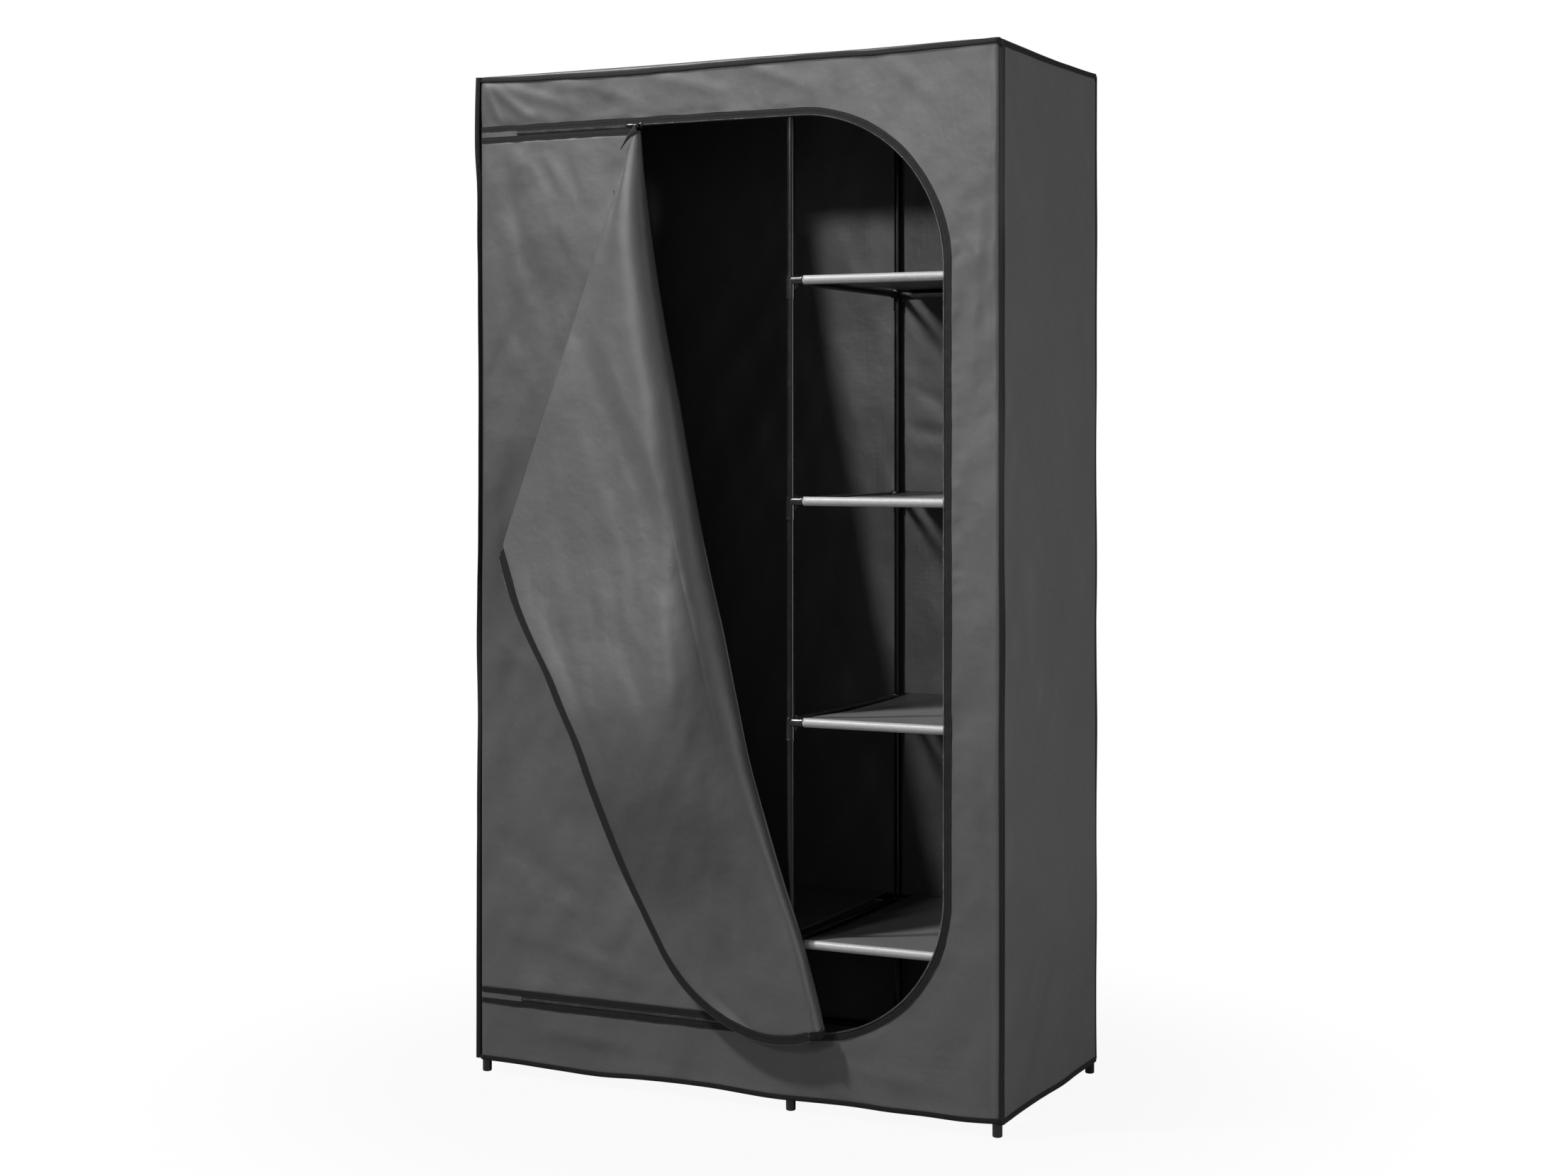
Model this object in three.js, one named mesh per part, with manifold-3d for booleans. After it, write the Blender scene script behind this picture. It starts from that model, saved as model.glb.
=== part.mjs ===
// Portable fabric wardrobe. Steel tubes in moulded connectors carry fabric shelves and a sewn cover.
// The cover's door is unzipped and folded back over the front, with its top corner turned under.
// Millimetres, +Z up, the front faces -Y, and the left is -X.

import * as THREE from "three";
import { mergeVertices } from "three/addons/utils/BufferGeometryUtils.js";
import Module from "manifold-3d";

const wasm = await Module();
wasm.setup();

// Driving dimensions of the cover
const coverWidth = 872;
const coverDepth = 416;
const coverTop = 1560;
const hemHeight = 22;
const clothThickness = 1;
const headerHeight = 93; // top edge down to the zip line
const footerHeight = 99; // hem up to the zip line
const stileWidth = 88; // right edge in to the zip line
const cornerRadius = 210; // of the zip line
const fit = 0.3; // clearance wherever two pieces touch

// Zip and binding
const tapeWidth = 12.5;
const chainWidth = 3;
const chainThickness = 2.2;
const topChainInset = 69; // left edge in to the first tooth
const bottomChainInset = 77;
const bindingWidth = 8;
const bindingThickness = 1.6;

// The folded door: its fold runs from the top slider to the bottom slider
const foldTopInset = 286; // left edge in to the fold at the top zip
const foldBottomInset = 594;
const foldTopStandoff = 8; // front panel out to the folded cloth
const foldBottomStandoff = 32;
const flapTopTrim = 24; // free cloth under the top slider
const rollEndTrim = 4;
const cornerFoldDrop = 486; // zip line down to where the second fold meets the right edge
const turnedCornerStandoff = 4;
// Along the second fold, and away from it, as shares of its length
const turnedCornerShares = [
  [0.06, 0],
  [0.06, 0.028],
  [0.43, 0.235],
  [0.58, 0.285],
  [0.72, 0.27],
  [0.97, 0.02],
  [0.97, 0],
];

// Frame
const tubeRadius = 6;
const tubeWall = 0.8;
const connectorWall = 0.9;
const sleeveDrop = 27; // rail axis down to the lower end of a connector's sleeve
const socketReach = 21; // post axis out to the end of a connector's branch
const socketFloor = 8; // post axis out to the bottom of the branch's socket
const gussetReach = 17;
const gussetDrop = 18;
const gussetThickness = 2.4;
const footFloor = 3;
const footBevel = 1;
const baseRailHeight = 36;
const lowestShelfHeight = 247;
const shelfPitch = 326.2;
const shelfCount = 4;
const shelfBay = 326; // middle post axis to right post axis
const hangingCollarLength = 26;

// Shelf cloths
const shelfClothThickness = 1;
const shelfSag = 4;
const shelfSideGap = 1; // connector end to the cloth's side edge

// Zip sliders and their pulls
const sliderLength = 13;
const sliderWidth = 9;
const sliderNose = 5;
const sliderThickness = 2.5;
const sliderSetback = 20; // fold end back to the bottom slider's middle
const earThickness = 1.2;
const earRadius = 2;
const pinRadius = 0.8;
const pullLength = 20;
const pullWidth = 5;
const pullThickness = 1.2;
const pullEyeRadius = 2.1;

// Facets of the round stretches
const tubeSides = 10;
const boreSides = 8;
const smallSides = 10;
const cornerSteps = 8;
const sagSteps = 8;

// Worked out from the sizes above
const overrun = tubeRadius; // how far a cutter passes a face
const connectorRadius = tubeRadius + fit + connectorWall;
const hangingDrop = 2 * connectorRadius - 2 * connectorWall; // top bars down to the hanging rail
const halfWidth = coverWidth / 2;
const halfDepth = coverDepth / 2;
const panelY = -halfDepth + clothThickness / 2; // mid-plane of the front cloth
const panelTop = coverTop - clothThickness - fit;
const zipTop = coverTop - headerHeight;
const zipBottom = hemHeight + footerHeight;
const zipRight = halfWidth - stileWidth;
const tapeInner = chainWidth / 2 + fit;
const clothEdge = tapeWidth + fit;
const topRailHeight = panelTop - fit - connectorRadius;
const sidePostX = halfWidth - clothThickness - fit - connectorRadius;
const postY = halfDepth - clothThickness - fit - connectorRadius;
const postX = { left: -sidePostX, middle: sidePostX - shelfBay, right: sidePostX };
const postRows = { front: -postY, back: postY };

const materials = {
  cloth: new THREE.MeshStandardMaterial({ color: 0x616264, roughness: 0.85, metalness: 0 }),
  lining: new THREE.MeshStandardMaterial({ color: 0x6e6f70, roughness: 0.8, metalness: 0 }),
  shelfCloth: new THREE.MeshStandardMaterial({ color: 0x8a8c8e, roughness: 0.6, metalness: 0 }),
  binding: new THREE.MeshStandardMaterial({ color: 0x23201e, roughness: 0.8, metalness: 0 }),
  tube: new THREE.MeshStandardMaterial({ color: 0x141414, roughness: 0.35, metalness: 0.4 }),
  connector: new THREE.MeshStandardMaterial({ color: 0x101010, roughness: 0.25, metalness: 0 }),
  zip: new THREE.MeshStandardMaterial({ color: 0x1b1a1a, roughness: 0.4, metalness: 0.5 }),
};

const wardrobe = new THREE.Group();

// Closed geometry to a solid, with its shared vertices merged
function solid(geometry) {
  const bare = geometry.clone();
  bare.deleteAttribute("normal");
  bare.deleteAttribute("uv");
  const merged = mergeVertices(bare);
  return new wasm.Manifold(
    new wasm.Mesh({
      numProp: 3,
      vertProperties: merged.attributes.position.array,
      triVerts: new Uint32Array(merged.index.array),
    }),
  );
}

// Solid back to a geometry for a mesh
function geometryOf(made) {
  const mesh = made.getMesh();
  const geometry = new THREE.BufferGeometry();
  geometry.setAttribute("position", new THREE.BufferAttribute(mesh.vertProperties, 3));
  geometry.setIndex(new THREE.BufferAttribute(mesh.triVerts, 1));
  geometry.computeVertexNormals();
  return geometry;
}

function join(geometries) {
  return geometries.map(solid).reduce((sum, next) => sum.add(next));
}

function cut(from, geometries) {
  return geometries.map(solid).reduce((left, next) => left.subtract(next), from);
}

function place(name, geometry, material, group = wardrobe) {
  const mesh = new THREE.Mesh(geometry, material);
  mesh.name = name;
  group.add(mesh);
  return mesh;
}

function block(x0, x1, y0, y1, z0, z1) {
  const geometry = new THREE.BoxGeometry(x1 - x0, y1 - y0, z1 - z0);
  geometry.translate((x0 + x1) / 2, (y0 + y1) / 2, (z0 + z1) / 2);
  return geometry;
}

// An upright sheet or plate: its outline in X and Z, its thickness about the plane y
function plate(outline, y, thickness) {
  const shape = new THREE.Shape(outline.map(([x, z]) => new THREE.Vector2(x, z)));
  const geometry = new THREE.ExtrudeGeometry(shape, { depth: thickness, bevelEnabled: false });
  geometry.rotateX(Math.PI / 2);
  geometry.translate(0, y + thickness / 2, 0);
  return geometry;
}

// A ring or rod turned about its own Z: [radius, z] points that end on the axis or meet themselves
function turned(profile, sides) {
  const points = profile.map(([radius, z]) => new THREE.Vector2(radius, z));
  return new THREE.LatheGeometry(points, sides).rotateX(Math.PI / 2);
}

function rod(radius, z0, z1, sides) {
  return turned(
    [
      [0, z0],
      [radius, z0],
      [radius, z1],
      [0, z1],
    ],
    sides,
  );
}

function pipe(outer, inner, length, sides) {
  return turned(
    [
      [inner, 0],
      [outer, 0],
      [outer, length],
      [inner, length],
      [inner, 0],
    ],
    sides,
  );
}

// Turns a shape that stands along Z to lie along +X or +Y
const alongX = (geometry) => geometry.rotateY(Math.PI / 2);
const alongY = (geometry) => alongX(geometry).rotateZ(Math.PI / 2);

// The zip line moved outwards by an offset: along the top, down the right and back along the bottom
function zipLine(offset, leftX) {
  const radius = cornerRadius + offset;
  const centreX = zipRight - cornerRadius;
  const points = [[leftX, zipTop + offset]];
  for (let i = 0; i <= cornerSteps; i += 1) {
    const angle = (Math.PI / 2) * (1 - i / cornerSteps);
    points.push([centreX + radius * Math.cos(angle), zipTop - cornerRadius + radius * Math.sin(angle)]);
  }
  for (let i = 0; i <= cornerSteps; i += 1) {
    const angle = (-Math.PI / 2) * (i / cornerSteps);
    points.push([centreX + radius * Math.cos(angle), zipBottom + cornerRadius + radius * Math.sin(angle)]);
  }
  points.push([leftX, zipBottom - offset]);
  return points;
}

// Frame: what branches from each post, level by level
const shelfHeights = Array.from({ length: shelfCount }, (_, i) => lowestShelfHeight + i * shelfPitch);
const levels = [
  { name: "base", height: baseRailHeight, left: true, middleBar: false },
  { name: "shelf_1", height: shelfHeights[0], left: true, middleBar: true },
  ...shelfHeights.slice(1).map((height, i) => ({
    name: `shelf_${i + 2}`,
    height,
    left: false,
    middleBar: true,
  })),
  { name: "top", height: topRailHeight, left: true, middleBar: true },
];

// One branch of a connector along +X from the post's axis, with its web below
function branch() {
  const arm = alongX(rod(connectorRadius, 0, socketReach, tubeSides));
  const web = plate(
    [
      [0, 0],
      [gussetReach, 0],
      [gussetReach, -connectorRadius],
      [connectorRadius, -gussetDrop],
      [0, -gussetDrop],
    ],
    0,
    gussetThickness,
  );
  return join([arm, web]);
}

function socketCutter() {
  return solid(alongX(rod(tubeRadius + fit, socketFloor, socketReach + overrun, tubeSides)));
}

const branchSolid = branch();
const socketSolid = socketCutter();
const degrees = { right: 0, back: 90, left: 180, front: -90 };

// Which way the branches of one post's connector point at a level
function branchesOf(column, row, level) {
  const ways = [];
  if (column === "right" || (column === "middle" && level.left)) ways.push("left");
  if (column === "middle" || column === "left") ways.push("right");
  if (column !== "middle" || level.middleBar) ways.push(row === "front" ? "back" : "front");
  return ways;
}

function post(column, row) {
  const here = levels.filter((level) => column !== "left" || level.left);
  const profile = [
    [0, 0],
    [connectorRadius - footBevel, 0],
    [connectorRadius, footBevel],
  ];
  here.forEach((level, i) => {
    const capTop = level.height + connectorRadius;
    if (i > 0) {
      profile.push([tubeRadius, level.height - sleeveDrop], [connectorRadius, level.height - sleeveDrop]);
    }
    profile.push([connectorRadius, capTop]);
    if (i < here.length - 1) profile.push([tubeRadius, capTop]);
  });
  profile.push([0, topRailHeight + connectorRadius]);
  let made = solid(turned(profile, tubeSides));
  for (const level of here) {
    for (const way of branchesOf(column, row, level)) {
      made = made.add(branchSolid.rotate([0, 0, degrees[way]]).translate([0, 0, level.height]));
    }
  }
  for (const level of here) {
    for (const way of branchesOf(column, row, level)) {
      made = made.subtract(socketSolid.rotate([0, 0, degrees[way]]).translate([0, 0, level.height]));
    }
  }
  const bore = rod(tubeRadius - tubeWall, footFloor, topRailHeight + connectorRadius + overrun, boreSides);
  made = cut(made, [bore]);
  const mesh = place(`post_${row}_${column}`, geometryOf(made), materials.tube);
  mesh.position.set(postX[column], postRows[row], 0);
}

for (const row of Object.keys(postRows)) {
  for (const column of Object.keys(postX)) post(column, row);
}

// Tubes between the connectors, each seated in a socket at both ends
const seat = socketFloor + fit;

function rail(level, row, from, to, side) {
  const length = postX[to] - postX[from] - 2 * seat;
  const tube = alongX(pipe(tubeRadius, tubeRadius - tubeWall, length, tubeSides));
  const mesh = place(`rail_${level.name}_${row}_${side}`, tube, materials.tube);
  mesh.position.set(postX[from] + seat, postRows[row], level.height);
}

function sideBar(level, column) {
  const tube = alongY(pipe(tubeRadius, tubeRadius - tubeWall, 2 * (postY - seat), tubeSides));
  const mesh = place(`bar_${level.name}_${column}`, tube, materials.tube);
  mesh.position.set(postX[column], -postY + seat, level.height);
}

for (const level of levels) {
  for (const row of Object.keys(postRows)) {
    rail(level, row, "middle", "right", "right");
    if (level.left) rail(level, row, "left", "middle", "left");
  }
  sideBar(level, "right");
  if (level.middleBar) sideBar(level, "middle");
  if (level.left) sideBar(level, "left");
}

// Hanging rail: a tube under two collars that ride on the top bars of the left bay
function hangingRail() {
  const span = postX.middle - postX.left;
  const half = hangingCollarLength / 2;
  const collar = () => alongY(rod(connectorRadius, -half, half, tubeSides)).translate(0, 0, hangingDrop);
  const collarBore = () =>
    alongY(rod(tubeRadius + fit, -half - overrun, half + overrun, tubeSides)).translate(0, 0, hangingDrop);
  const socket = () => alongX(rod(connectorRadius, 0, connectorRadius + socketReach, tubeSides));
  const length = span + 2 * connectorRadius;
  const outside = join([
    alongX(rod(tubeRadius, 0, length, tubeSides)),
    socket(),
    socket().translate(length - connectorRadius - socketReach, 0, 0),
    collar().translate(connectorRadius, 0, 0),
    collar().translate(length - connectorRadius, 0, 0),
  ]);
  const made = cut(outside, [
    alongX(rod(tubeRadius - tubeWall, -overrun, length + overrun, boreSides)),
    collarBore().translate(connectorRadius, 0, 0),
    collarBore().translate(length - connectorRadius, 0, 0),
  ]);
  const mesh = place("hanging_rail", geometryOf(made), materials.tube);
  mesh.position.set(postX.left - connectorRadius, 0, topRailHeight - hangingDrop);
}
hangingRail();

// Shelf cloth: a sheet that sags a little between two tunnels round the front and back rails
function shelf(name, from, to, height) {
  const x0 = postX[from] + socketReach + shelfSideGap;
  const x1 = postX[to] - socketReach - shelfSideGap;
  const tunnelOuter = tubeRadius + fit + shelfClothThickness;
  const tunnels = Object.values(postRows).map((y) =>
    alongX(rod(tunnelOuter, 0, x1 - x0, tubeSides)).translate(x0, y, height),
  );
  const upper = [];
  const lower = [];
  for (let i = 0; i <= sagSteps; i += 1) {
    const share = (2 * i) / sagSteps - 1;
    const z = tunnelOuter - shelfSag * (1 - share * share);
    upper.push(new THREE.Vector2(share * postY, z));
    lower.unshift(new THREE.Vector2(share * postY, z - shelfClothThickness));
  }
  const sheet = new THREE.ExtrudeGeometry(new THREE.Shape([...upper, ...lower]), {
    depth: x1 - x0,
    bevelEnabled: false,
  });
  sheet.rotateX(Math.PI / 2);
  sheet.rotateZ(Math.PI / 2);
  sheet.translate(x0, 0, height);
  const bores = Object.values(postRows).map((y) =>
    alongX(rod(tubeRadius + fit, -overrun, x1 - x0 + overrun, tubeSides)).translate(x0, y, height),
  );
  place(name, geometryOf(cut(join([sheet, ...tunnels]), bores)), materials.shelfCloth);
}

shelf("shelf_cloth_1_left", "left", "middle", shelfHeights[0]);
shelfHeights.forEach((height, i) => shelf(`shelf_cloth_${i + 1}_right`, "middle", "right", height));

// Cover: the top lies over the four walls, and the front and back lie over the sides
function coverPanels() {
  const sideY = halfDepth - clothThickness - fit;
  place(
    "cover_top",
    block(-halfWidth, halfWidth, -halfDepth, halfDepth, coverTop - clothThickness, coverTop),
    materials.cloth,
  );
  place(
    "cover_back",
    block(-halfWidth, halfWidth, halfDepth - clothThickness, halfDepth, hemHeight, panelTop),
    materials.cloth,
  );
  place(
    "cover_left",
    block(-halfWidth, -halfWidth + clothThickness, -sideY, sideY, hemHeight, panelTop),
    materials.cloth,
  );
  place(
    "cover_right",
    block(halfWidth - clothThickness, halfWidth, -sideY, sideY, hemHeight, panelTop),
    materials.cloth,
  );
  const front = [
    [-halfWidth, hemHeight],
    [halfWidth, hemHeight],
    [halfWidth, panelTop],
    [-halfWidth, panelTop],
    ...zipLine(clothEdge, -halfWidth),
  ];
  place("cover_front", plate(front, panelY, clothThickness), materials.cloth);
}
coverPanels();

// Binding over the sewn edges: a band round the top, a band round the hem and a fin down each corner
function seamBinding() {
  const inner = fit;
  const outer = fit + bindingThickness;
  const band = (z0) =>
    solid(
      block(-halfWidth - outer, halfWidth + outer, -halfDepth - outer, halfDepth + outer, z0, z0 + bindingWidth),
    ).subtract(
      solid(
        block(
          -halfWidth - inner,
          halfWidth + inner,
          -halfDepth - inner,
          halfDepth + inner,
          z0 - overrun,
          z0 + bindingWidth + overrun,
        ),
      ),
    );
  let made = band(coverTop - bindingWidth).add(band(hemHeight));
  for (const x of [-1, 1]) {
    for (const y of [-1, 1]) {
      const fin = block(fit, bindingWidth, -bindingThickness / 2, bindingThickness / 2, hemHeight, coverTop);
      fin.rotateZ(Math.atan2(y, x));
      fin.translate(x * (halfWidth + fit), y * (halfDepth + fit), 0);
      made = made.add(solid(fin));
    }
  }
  place("seam_binding", geometryOf(made), materials.binding);
}
seamBinding();

// The fold line of the door, from its top end to its bottom end. It stands in front of the panel.
const foldTop = new THREE.Vector3(-halfWidth + foldTopInset, panelY - foldTopStandoff / 2, zipTop);
const foldBottom = new THREE.Vector3(-halfWidth + foldBottomInset, panelY - foldBottomStandoff / 2, zipBottom);
const foldLength = foldTop.distanceTo(foldBottom);
const foldWay = foldBottom.clone().sub(foldTop).normalize();

// A point on the fold line at a height, as [x, z], moved sideways
function foldAt(z, shift = 0) {
  const share = (zipTop - z) / (zipTop - zipBottom);
  return [foldTop.x + (foldBottom.x - foldTop.x) * share + shift, z];
}

// How far the flat cloth has to end from the fold line to clear the round fold
function foldClearance(standoff) {
  const round = standoff / 2 + clothThickness / 2 + fit;
  const face = standoff / 2 - clothThickness / 2;
  return Math.sqrt(round * round - face * face) + fit;
}

function doorPanel() {
  const top = zipTop - clothEdge;
  const bottom = zipBottom + clothEdge;
  const outline = [
    [-halfWidth, bottom],
    foldAt(bottom, -foldClearance(foldBottomStandoff)),
    foldAt(top, -foldClearance(foldTopStandoff)),
    [-halfWidth, top],
  ];
  place("door_panel", plate(outline, panelY, clothThickness), materials.cloth);
}
doorPanel();

// The front's half of the zip tape, all round the door opening
place(
  "zip_tape_frame",
  plate(
    [...zipLine(tapeWidth, -halfWidth), ...zipLine(tapeInner, -halfWidth).reverse()],
    panelY,
    clothThickness,
  ),
  materials.binding,
);

// The door's half of the tape along a closed stretch, with the joined chain on its edge
function closedZip(name, line, side, chainStart, chainEnd, tapeEnd) {
  const tape = block(
    -halfWidth,
    tapeEnd,
    panelY - clothThickness / 2,
    panelY + clothThickness / 2,
    Math.min(line + side * tapeWidth, line + side * fit),
    Math.max(line + side * tapeWidth, line + side * fit),
  );
  const trim = block(
    -halfWidth - overrun,
    chainStart,
    panelY - chainThickness,
    panelY + chainThickness,
    line - chainWidth / 2,
    line + chainWidth / 2,
  );
  const chain = block(
    chainStart,
    chainEnd,
    panelY - chainThickness / 2,
    panelY + chainThickness / 2,
    line - chainWidth / 2,
    line + chainWidth / 2,
  );
  place(name, geometryOf(cut(solid(tape), [trim]).add(solid(chain))), materials.zip);
}

const topSliderX = foldTop.x;
const bottomSliderX = foldBottom.x - sliderSetback;
closedZip(
  "zip_door_top",
  zipTop,
  -1,
  -halfWidth + topChainInset,
  topSliderX,
  foldTop.x - foldClearance(foldTopStandoff),
);
closedZip(
  "zip_door_bottom",
  zipBottom,
  1,
  -halfWidth + bottomChainInset,
  bottomSliderX,
  foldBottom.x - foldClearance(foldBottomStandoff),
);

// The flap is laid out as it lies when the door is shut, then turned half round on the fold line
const foldedBack = new THREE.Group();
const halfTurn = new THREE.Quaternion().setFromAxisAngle(foldWay, Math.PI);
foldedBack.quaternion.copy(halfTurn);
foldedBack.position.copy(foldTop.clone().sub(foldTop.clone().applyQuaternion(halfTurn)));
wardrobe.add(foldedBack);

const cornerFoldEnd = new THREE.Vector2(zipRight, zipTop - cornerFoldDrop);
const cornerFoldStart = new THREE.Vector2(foldTop.x, zipTop);
const cornerFoldLength = cornerFoldStart.distanceTo(cornerFoldEnd);
const cornerFoldWay = cornerFoldEnd.clone().sub(cornerFoldStart).normalize();

// A point by its distances along the second fold and away from it, as [x, z]
function byCornerFold(along, away) {
  return [
    cornerFoldStart.x + cornerFoldWay.x * along + cornerFoldWay.y * away,
    cornerFoldStart.y + cornerFoldWay.y * along - cornerFoldWay.x * away,
  ];
}

// What lies between the two folds, as a cutter
function betweenFolds(thickness) {
  const reach = foldLength + cornerFoldLength;
  const foldWayFlat = [foldWay.x, foldWay.z];
  const onFold = (along) => [foldTop.x + foldWayFlat[0] * along, zipTop + foldWayFlat[1] * along];
  return solid(
    plate(
      [onFold(flapTopTrim), onFold(reach), byCornerFold(reach, 0), byCornerFold(flapTopTrim, 0)],
      panelY,
      thickness,
    ),
  );
}

// The round fold itself, a thin cone about the fold line
function foldRoll() {
  const start = flapTopTrim;
  const end = foldLength - tapeWidth - fit - rollEndTrim;
  const radiusAt = (along) => {
    const standoff = foldTopStandoff + ((foldBottomStandoff - foldTopStandoff) * along) / foldLength;
    return standoff / 2 + clothThickness / 2;
  };
  const cone = turned(
    [
      [radiusAt(start) - clothThickness, start],
      [radiusAt(start), start],
      [radiusAt(end), end],
      [radiusAt(end) - clothThickness, end],
      [radiusAt(start) - clothThickness, start],
    ],
    tubeSides,
  );
  const inward = new THREE.Vector3(0, 1, 0).projectOnPlane(foldWay).normalize();
  const across = new THREE.Vector3().crossVectors(inward, foldWay);
  cone.applyMatrix4(new THREE.Matrix4().makeBasis(across, inward, foldWay));
  cone.translate(foldTop.x, foldTop.y, foldTop.z);
  return cone;
}

function doorFlap() {
  const inside = (offset) => zipLine(-offset, foldTop.x);
  const sheet = solid(plate(inside(clothEdge), panelY, clothThickness)).intersect(
    betweenFolds(2 * clothThickness),
  );
  const leafY = panelY - turnedCornerStandoff;
  const leaf = plate(
    turnedCornerShares.map(([along, away]) => byCornerFold(along * cornerFoldLength, away * cornerFoldLength)),
    leafY,
    clothThickness,
  );
  const rollStart = turnedCornerShares[0][0] * cornerFoldLength;
  const rollLength = cornerFoldLength * turnedCornerShares.at(-1)[0] - rollStart;
  const cornerRoll = alongX(rod((turnedCornerStandoff + clothThickness) / 2, 0, rollLength, boreSides));
  cornerRoll.rotateY(-Math.atan2(cornerFoldWay.y, cornerFoldWay.x));
  const [rollX, rollZ] = byCornerFold(rollStart, 0);
  cornerRoll.translate(rollX, panelY - turnedCornerStandoff / 2, rollZ);
  const made = sheet.add(solid(foldRoll())).add(solid(leaf)).add(solid(cornerRoll));
  place("door_flap", geometryOf(made), materials.lining, foldedBack);
  const outlineTape = [...zipLine(-tapeInner, foldTop.x), ...zipLine(-tapeWidth, foldTop.x).reverse()];
  const tape = solid(plate(outlineTape, panelY, clothThickness)).intersect(betweenFolds(2 * clothThickness));
  place("zip_tape_flap", geometryOf(tape), materials.binding, foldedBack);
}
doorFlap();

// A slider runs in front of the chain. Two ears and a pin on its face carry the pull.
const sliderBack = panelY - chainThickness / 2 - fit;
const sliderFace = sliderBack - sliderThickness;
const pinY = sliderFace - pullEyeRadius - fit;
const earInner = pullWidth / 2 + fit;

function slider(name, x, z) {
  const body = plate(
    [
      [-sliderLength / 2, -sliderNose / 2],
      [sliderLength / 2, -sliderWidth / 2],
      [sliderLength / 2, sliderWidth / 2],
      [-sliderLength / 2, sliderNose / 2],
    ],
    (sliderBack + sliderFace) / 2,
    sliderThickness,
  );
  const ears = [-1, 1].map((side) => {
    const start = side > 0 ? earInner : -earInner - earThickness;
    const round = rod(earRadius, start, start + earThickness, smallSides).translate(0, pinY, 0);
    const neck = block(-earRadius, earRadius, pinY, (sliderFace + sliderBack) / 2, start, start + earThickness);
    return join([round, neck]);
  });
  const pin = rod(pinRadius, -earInner - earThickness / 2, earInner + earThickness / 2, boreSides);
  pin.translate(0, pinY, 0);
  const made = solid(body).add(ears[0]).add(ears[1]).add(solid(pin));
  place(name, geometryOf(made), materials.zip).position.set(x, 0, z);
}

function pull(name, x, z) {
  const eye = rod(pullEyeRadius, -pullWidth / 2, pullWidth / 2, smallSides);
  const tab = block(-pullLength, 0, -pullThickness / 2, pullThickness / 2, -pullWidth / 2, pullWidth / 2);
  const bore = rod(pinRadius + fit, -pullWidth, pullWidth, smallSides);
  const mesh = place(name, geometryOf(cut(join([eye, tab]), [bore])), materials.zip);
  mesh.position.set(x, pinY, z);
}

slider("zip_slider_top", topSliderX, zipTop);
slider("zip_slider_bottom", bottomSliderX, zipBottom);
pull("zip_pull_top", topSliderX, zipTop);
pull("zip_pull_bottom", bottomSliderX, zipBottom);

// The origin is on the floor, under the middle of the whole
wardrobe.updateMatrixWorld(true);
const extent = new THREE.Box3().setFromObject(wardrobe, true);
wardrobe.position.set(-(extent.min.x + extent.max.x) / 2, -(extent.min.y + extent.max.y) / 2, -extent.min.z);

export default wardrobe;
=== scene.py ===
"""Looks of a portable fabric wardrobe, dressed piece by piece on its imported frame."""

import logging
import math
from dataclasses import dataclass, field
from enum import Enum
from typing import Iterable, Sequence

import bpy
import numpy as np
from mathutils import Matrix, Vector, noise


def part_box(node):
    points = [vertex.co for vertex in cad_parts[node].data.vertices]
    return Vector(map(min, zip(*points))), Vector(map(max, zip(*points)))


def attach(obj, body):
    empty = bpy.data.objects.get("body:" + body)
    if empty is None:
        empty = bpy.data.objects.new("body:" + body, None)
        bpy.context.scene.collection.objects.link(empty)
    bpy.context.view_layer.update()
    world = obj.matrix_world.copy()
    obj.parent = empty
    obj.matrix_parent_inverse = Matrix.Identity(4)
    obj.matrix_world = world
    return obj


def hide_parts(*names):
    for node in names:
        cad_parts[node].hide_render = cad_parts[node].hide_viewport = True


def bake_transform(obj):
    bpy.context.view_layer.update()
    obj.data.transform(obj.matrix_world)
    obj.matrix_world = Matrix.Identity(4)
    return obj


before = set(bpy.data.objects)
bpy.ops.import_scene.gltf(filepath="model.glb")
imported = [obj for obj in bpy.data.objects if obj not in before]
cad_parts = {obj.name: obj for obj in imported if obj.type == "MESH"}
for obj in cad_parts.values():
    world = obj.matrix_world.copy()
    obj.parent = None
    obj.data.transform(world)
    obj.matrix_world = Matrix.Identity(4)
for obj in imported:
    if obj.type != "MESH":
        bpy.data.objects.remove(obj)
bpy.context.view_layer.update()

MM = 0.001
# Noise is stretched to reach from -1 to 1, and each seed reads a stretch of its own
NOISE_GAIN = 2.2
RIPPLE_STRIDE = 7.31
SWELL_STRIDE = 5.17
LOG = logging.getLogger("wardrobe")
Array = np.ndarray
Profile = Sequence[tuple[float, float]]


class Body(str, Enum):
    """The bodies that pieces ride on."""

    WARDROBE = "wardrobe"
    FLAP = "door_flap"
    TOP_SLIDER = "top_slider"
    TOP_PULL = "top_pull"
    BOTTOM_SLIDER = "bottom_slider"
    BOTTOM_PULL = "bottom_pull"


class Slot(str, Enum):
    """The finishes that the part's record names."""

    COVER = "cover_fabric"
    LINING = "lining_fabric"
    SHELF = "shelf_fabric"
    BINDING = "binding_fabric"
    TUBE = "frame_tube"
    ZIP = "zip_metal"


# Numbers and small shapes


def noise_at(places: Iterable[tuple[float, float, float]], shape: tuple[int, ...]) -> Array:
    """Noise from -1 to 1 at each place, as an array of a given shape."""
    return np.clip([NOISE_GAIN * noise.noise(Vector(place)) for place in places], -1, 1).reshape(shape)


def ripple(values: Array, wavelength: float, seed: float) -> Array:
    """Noise from -1 to 1 along one direction, up and down once in a wavelength."""
    return noise_at(((v / wavelength, seed * RIPPLE_STRIDE, 0.5) for v in np.ravel(values)), np.shape(values))


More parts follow.
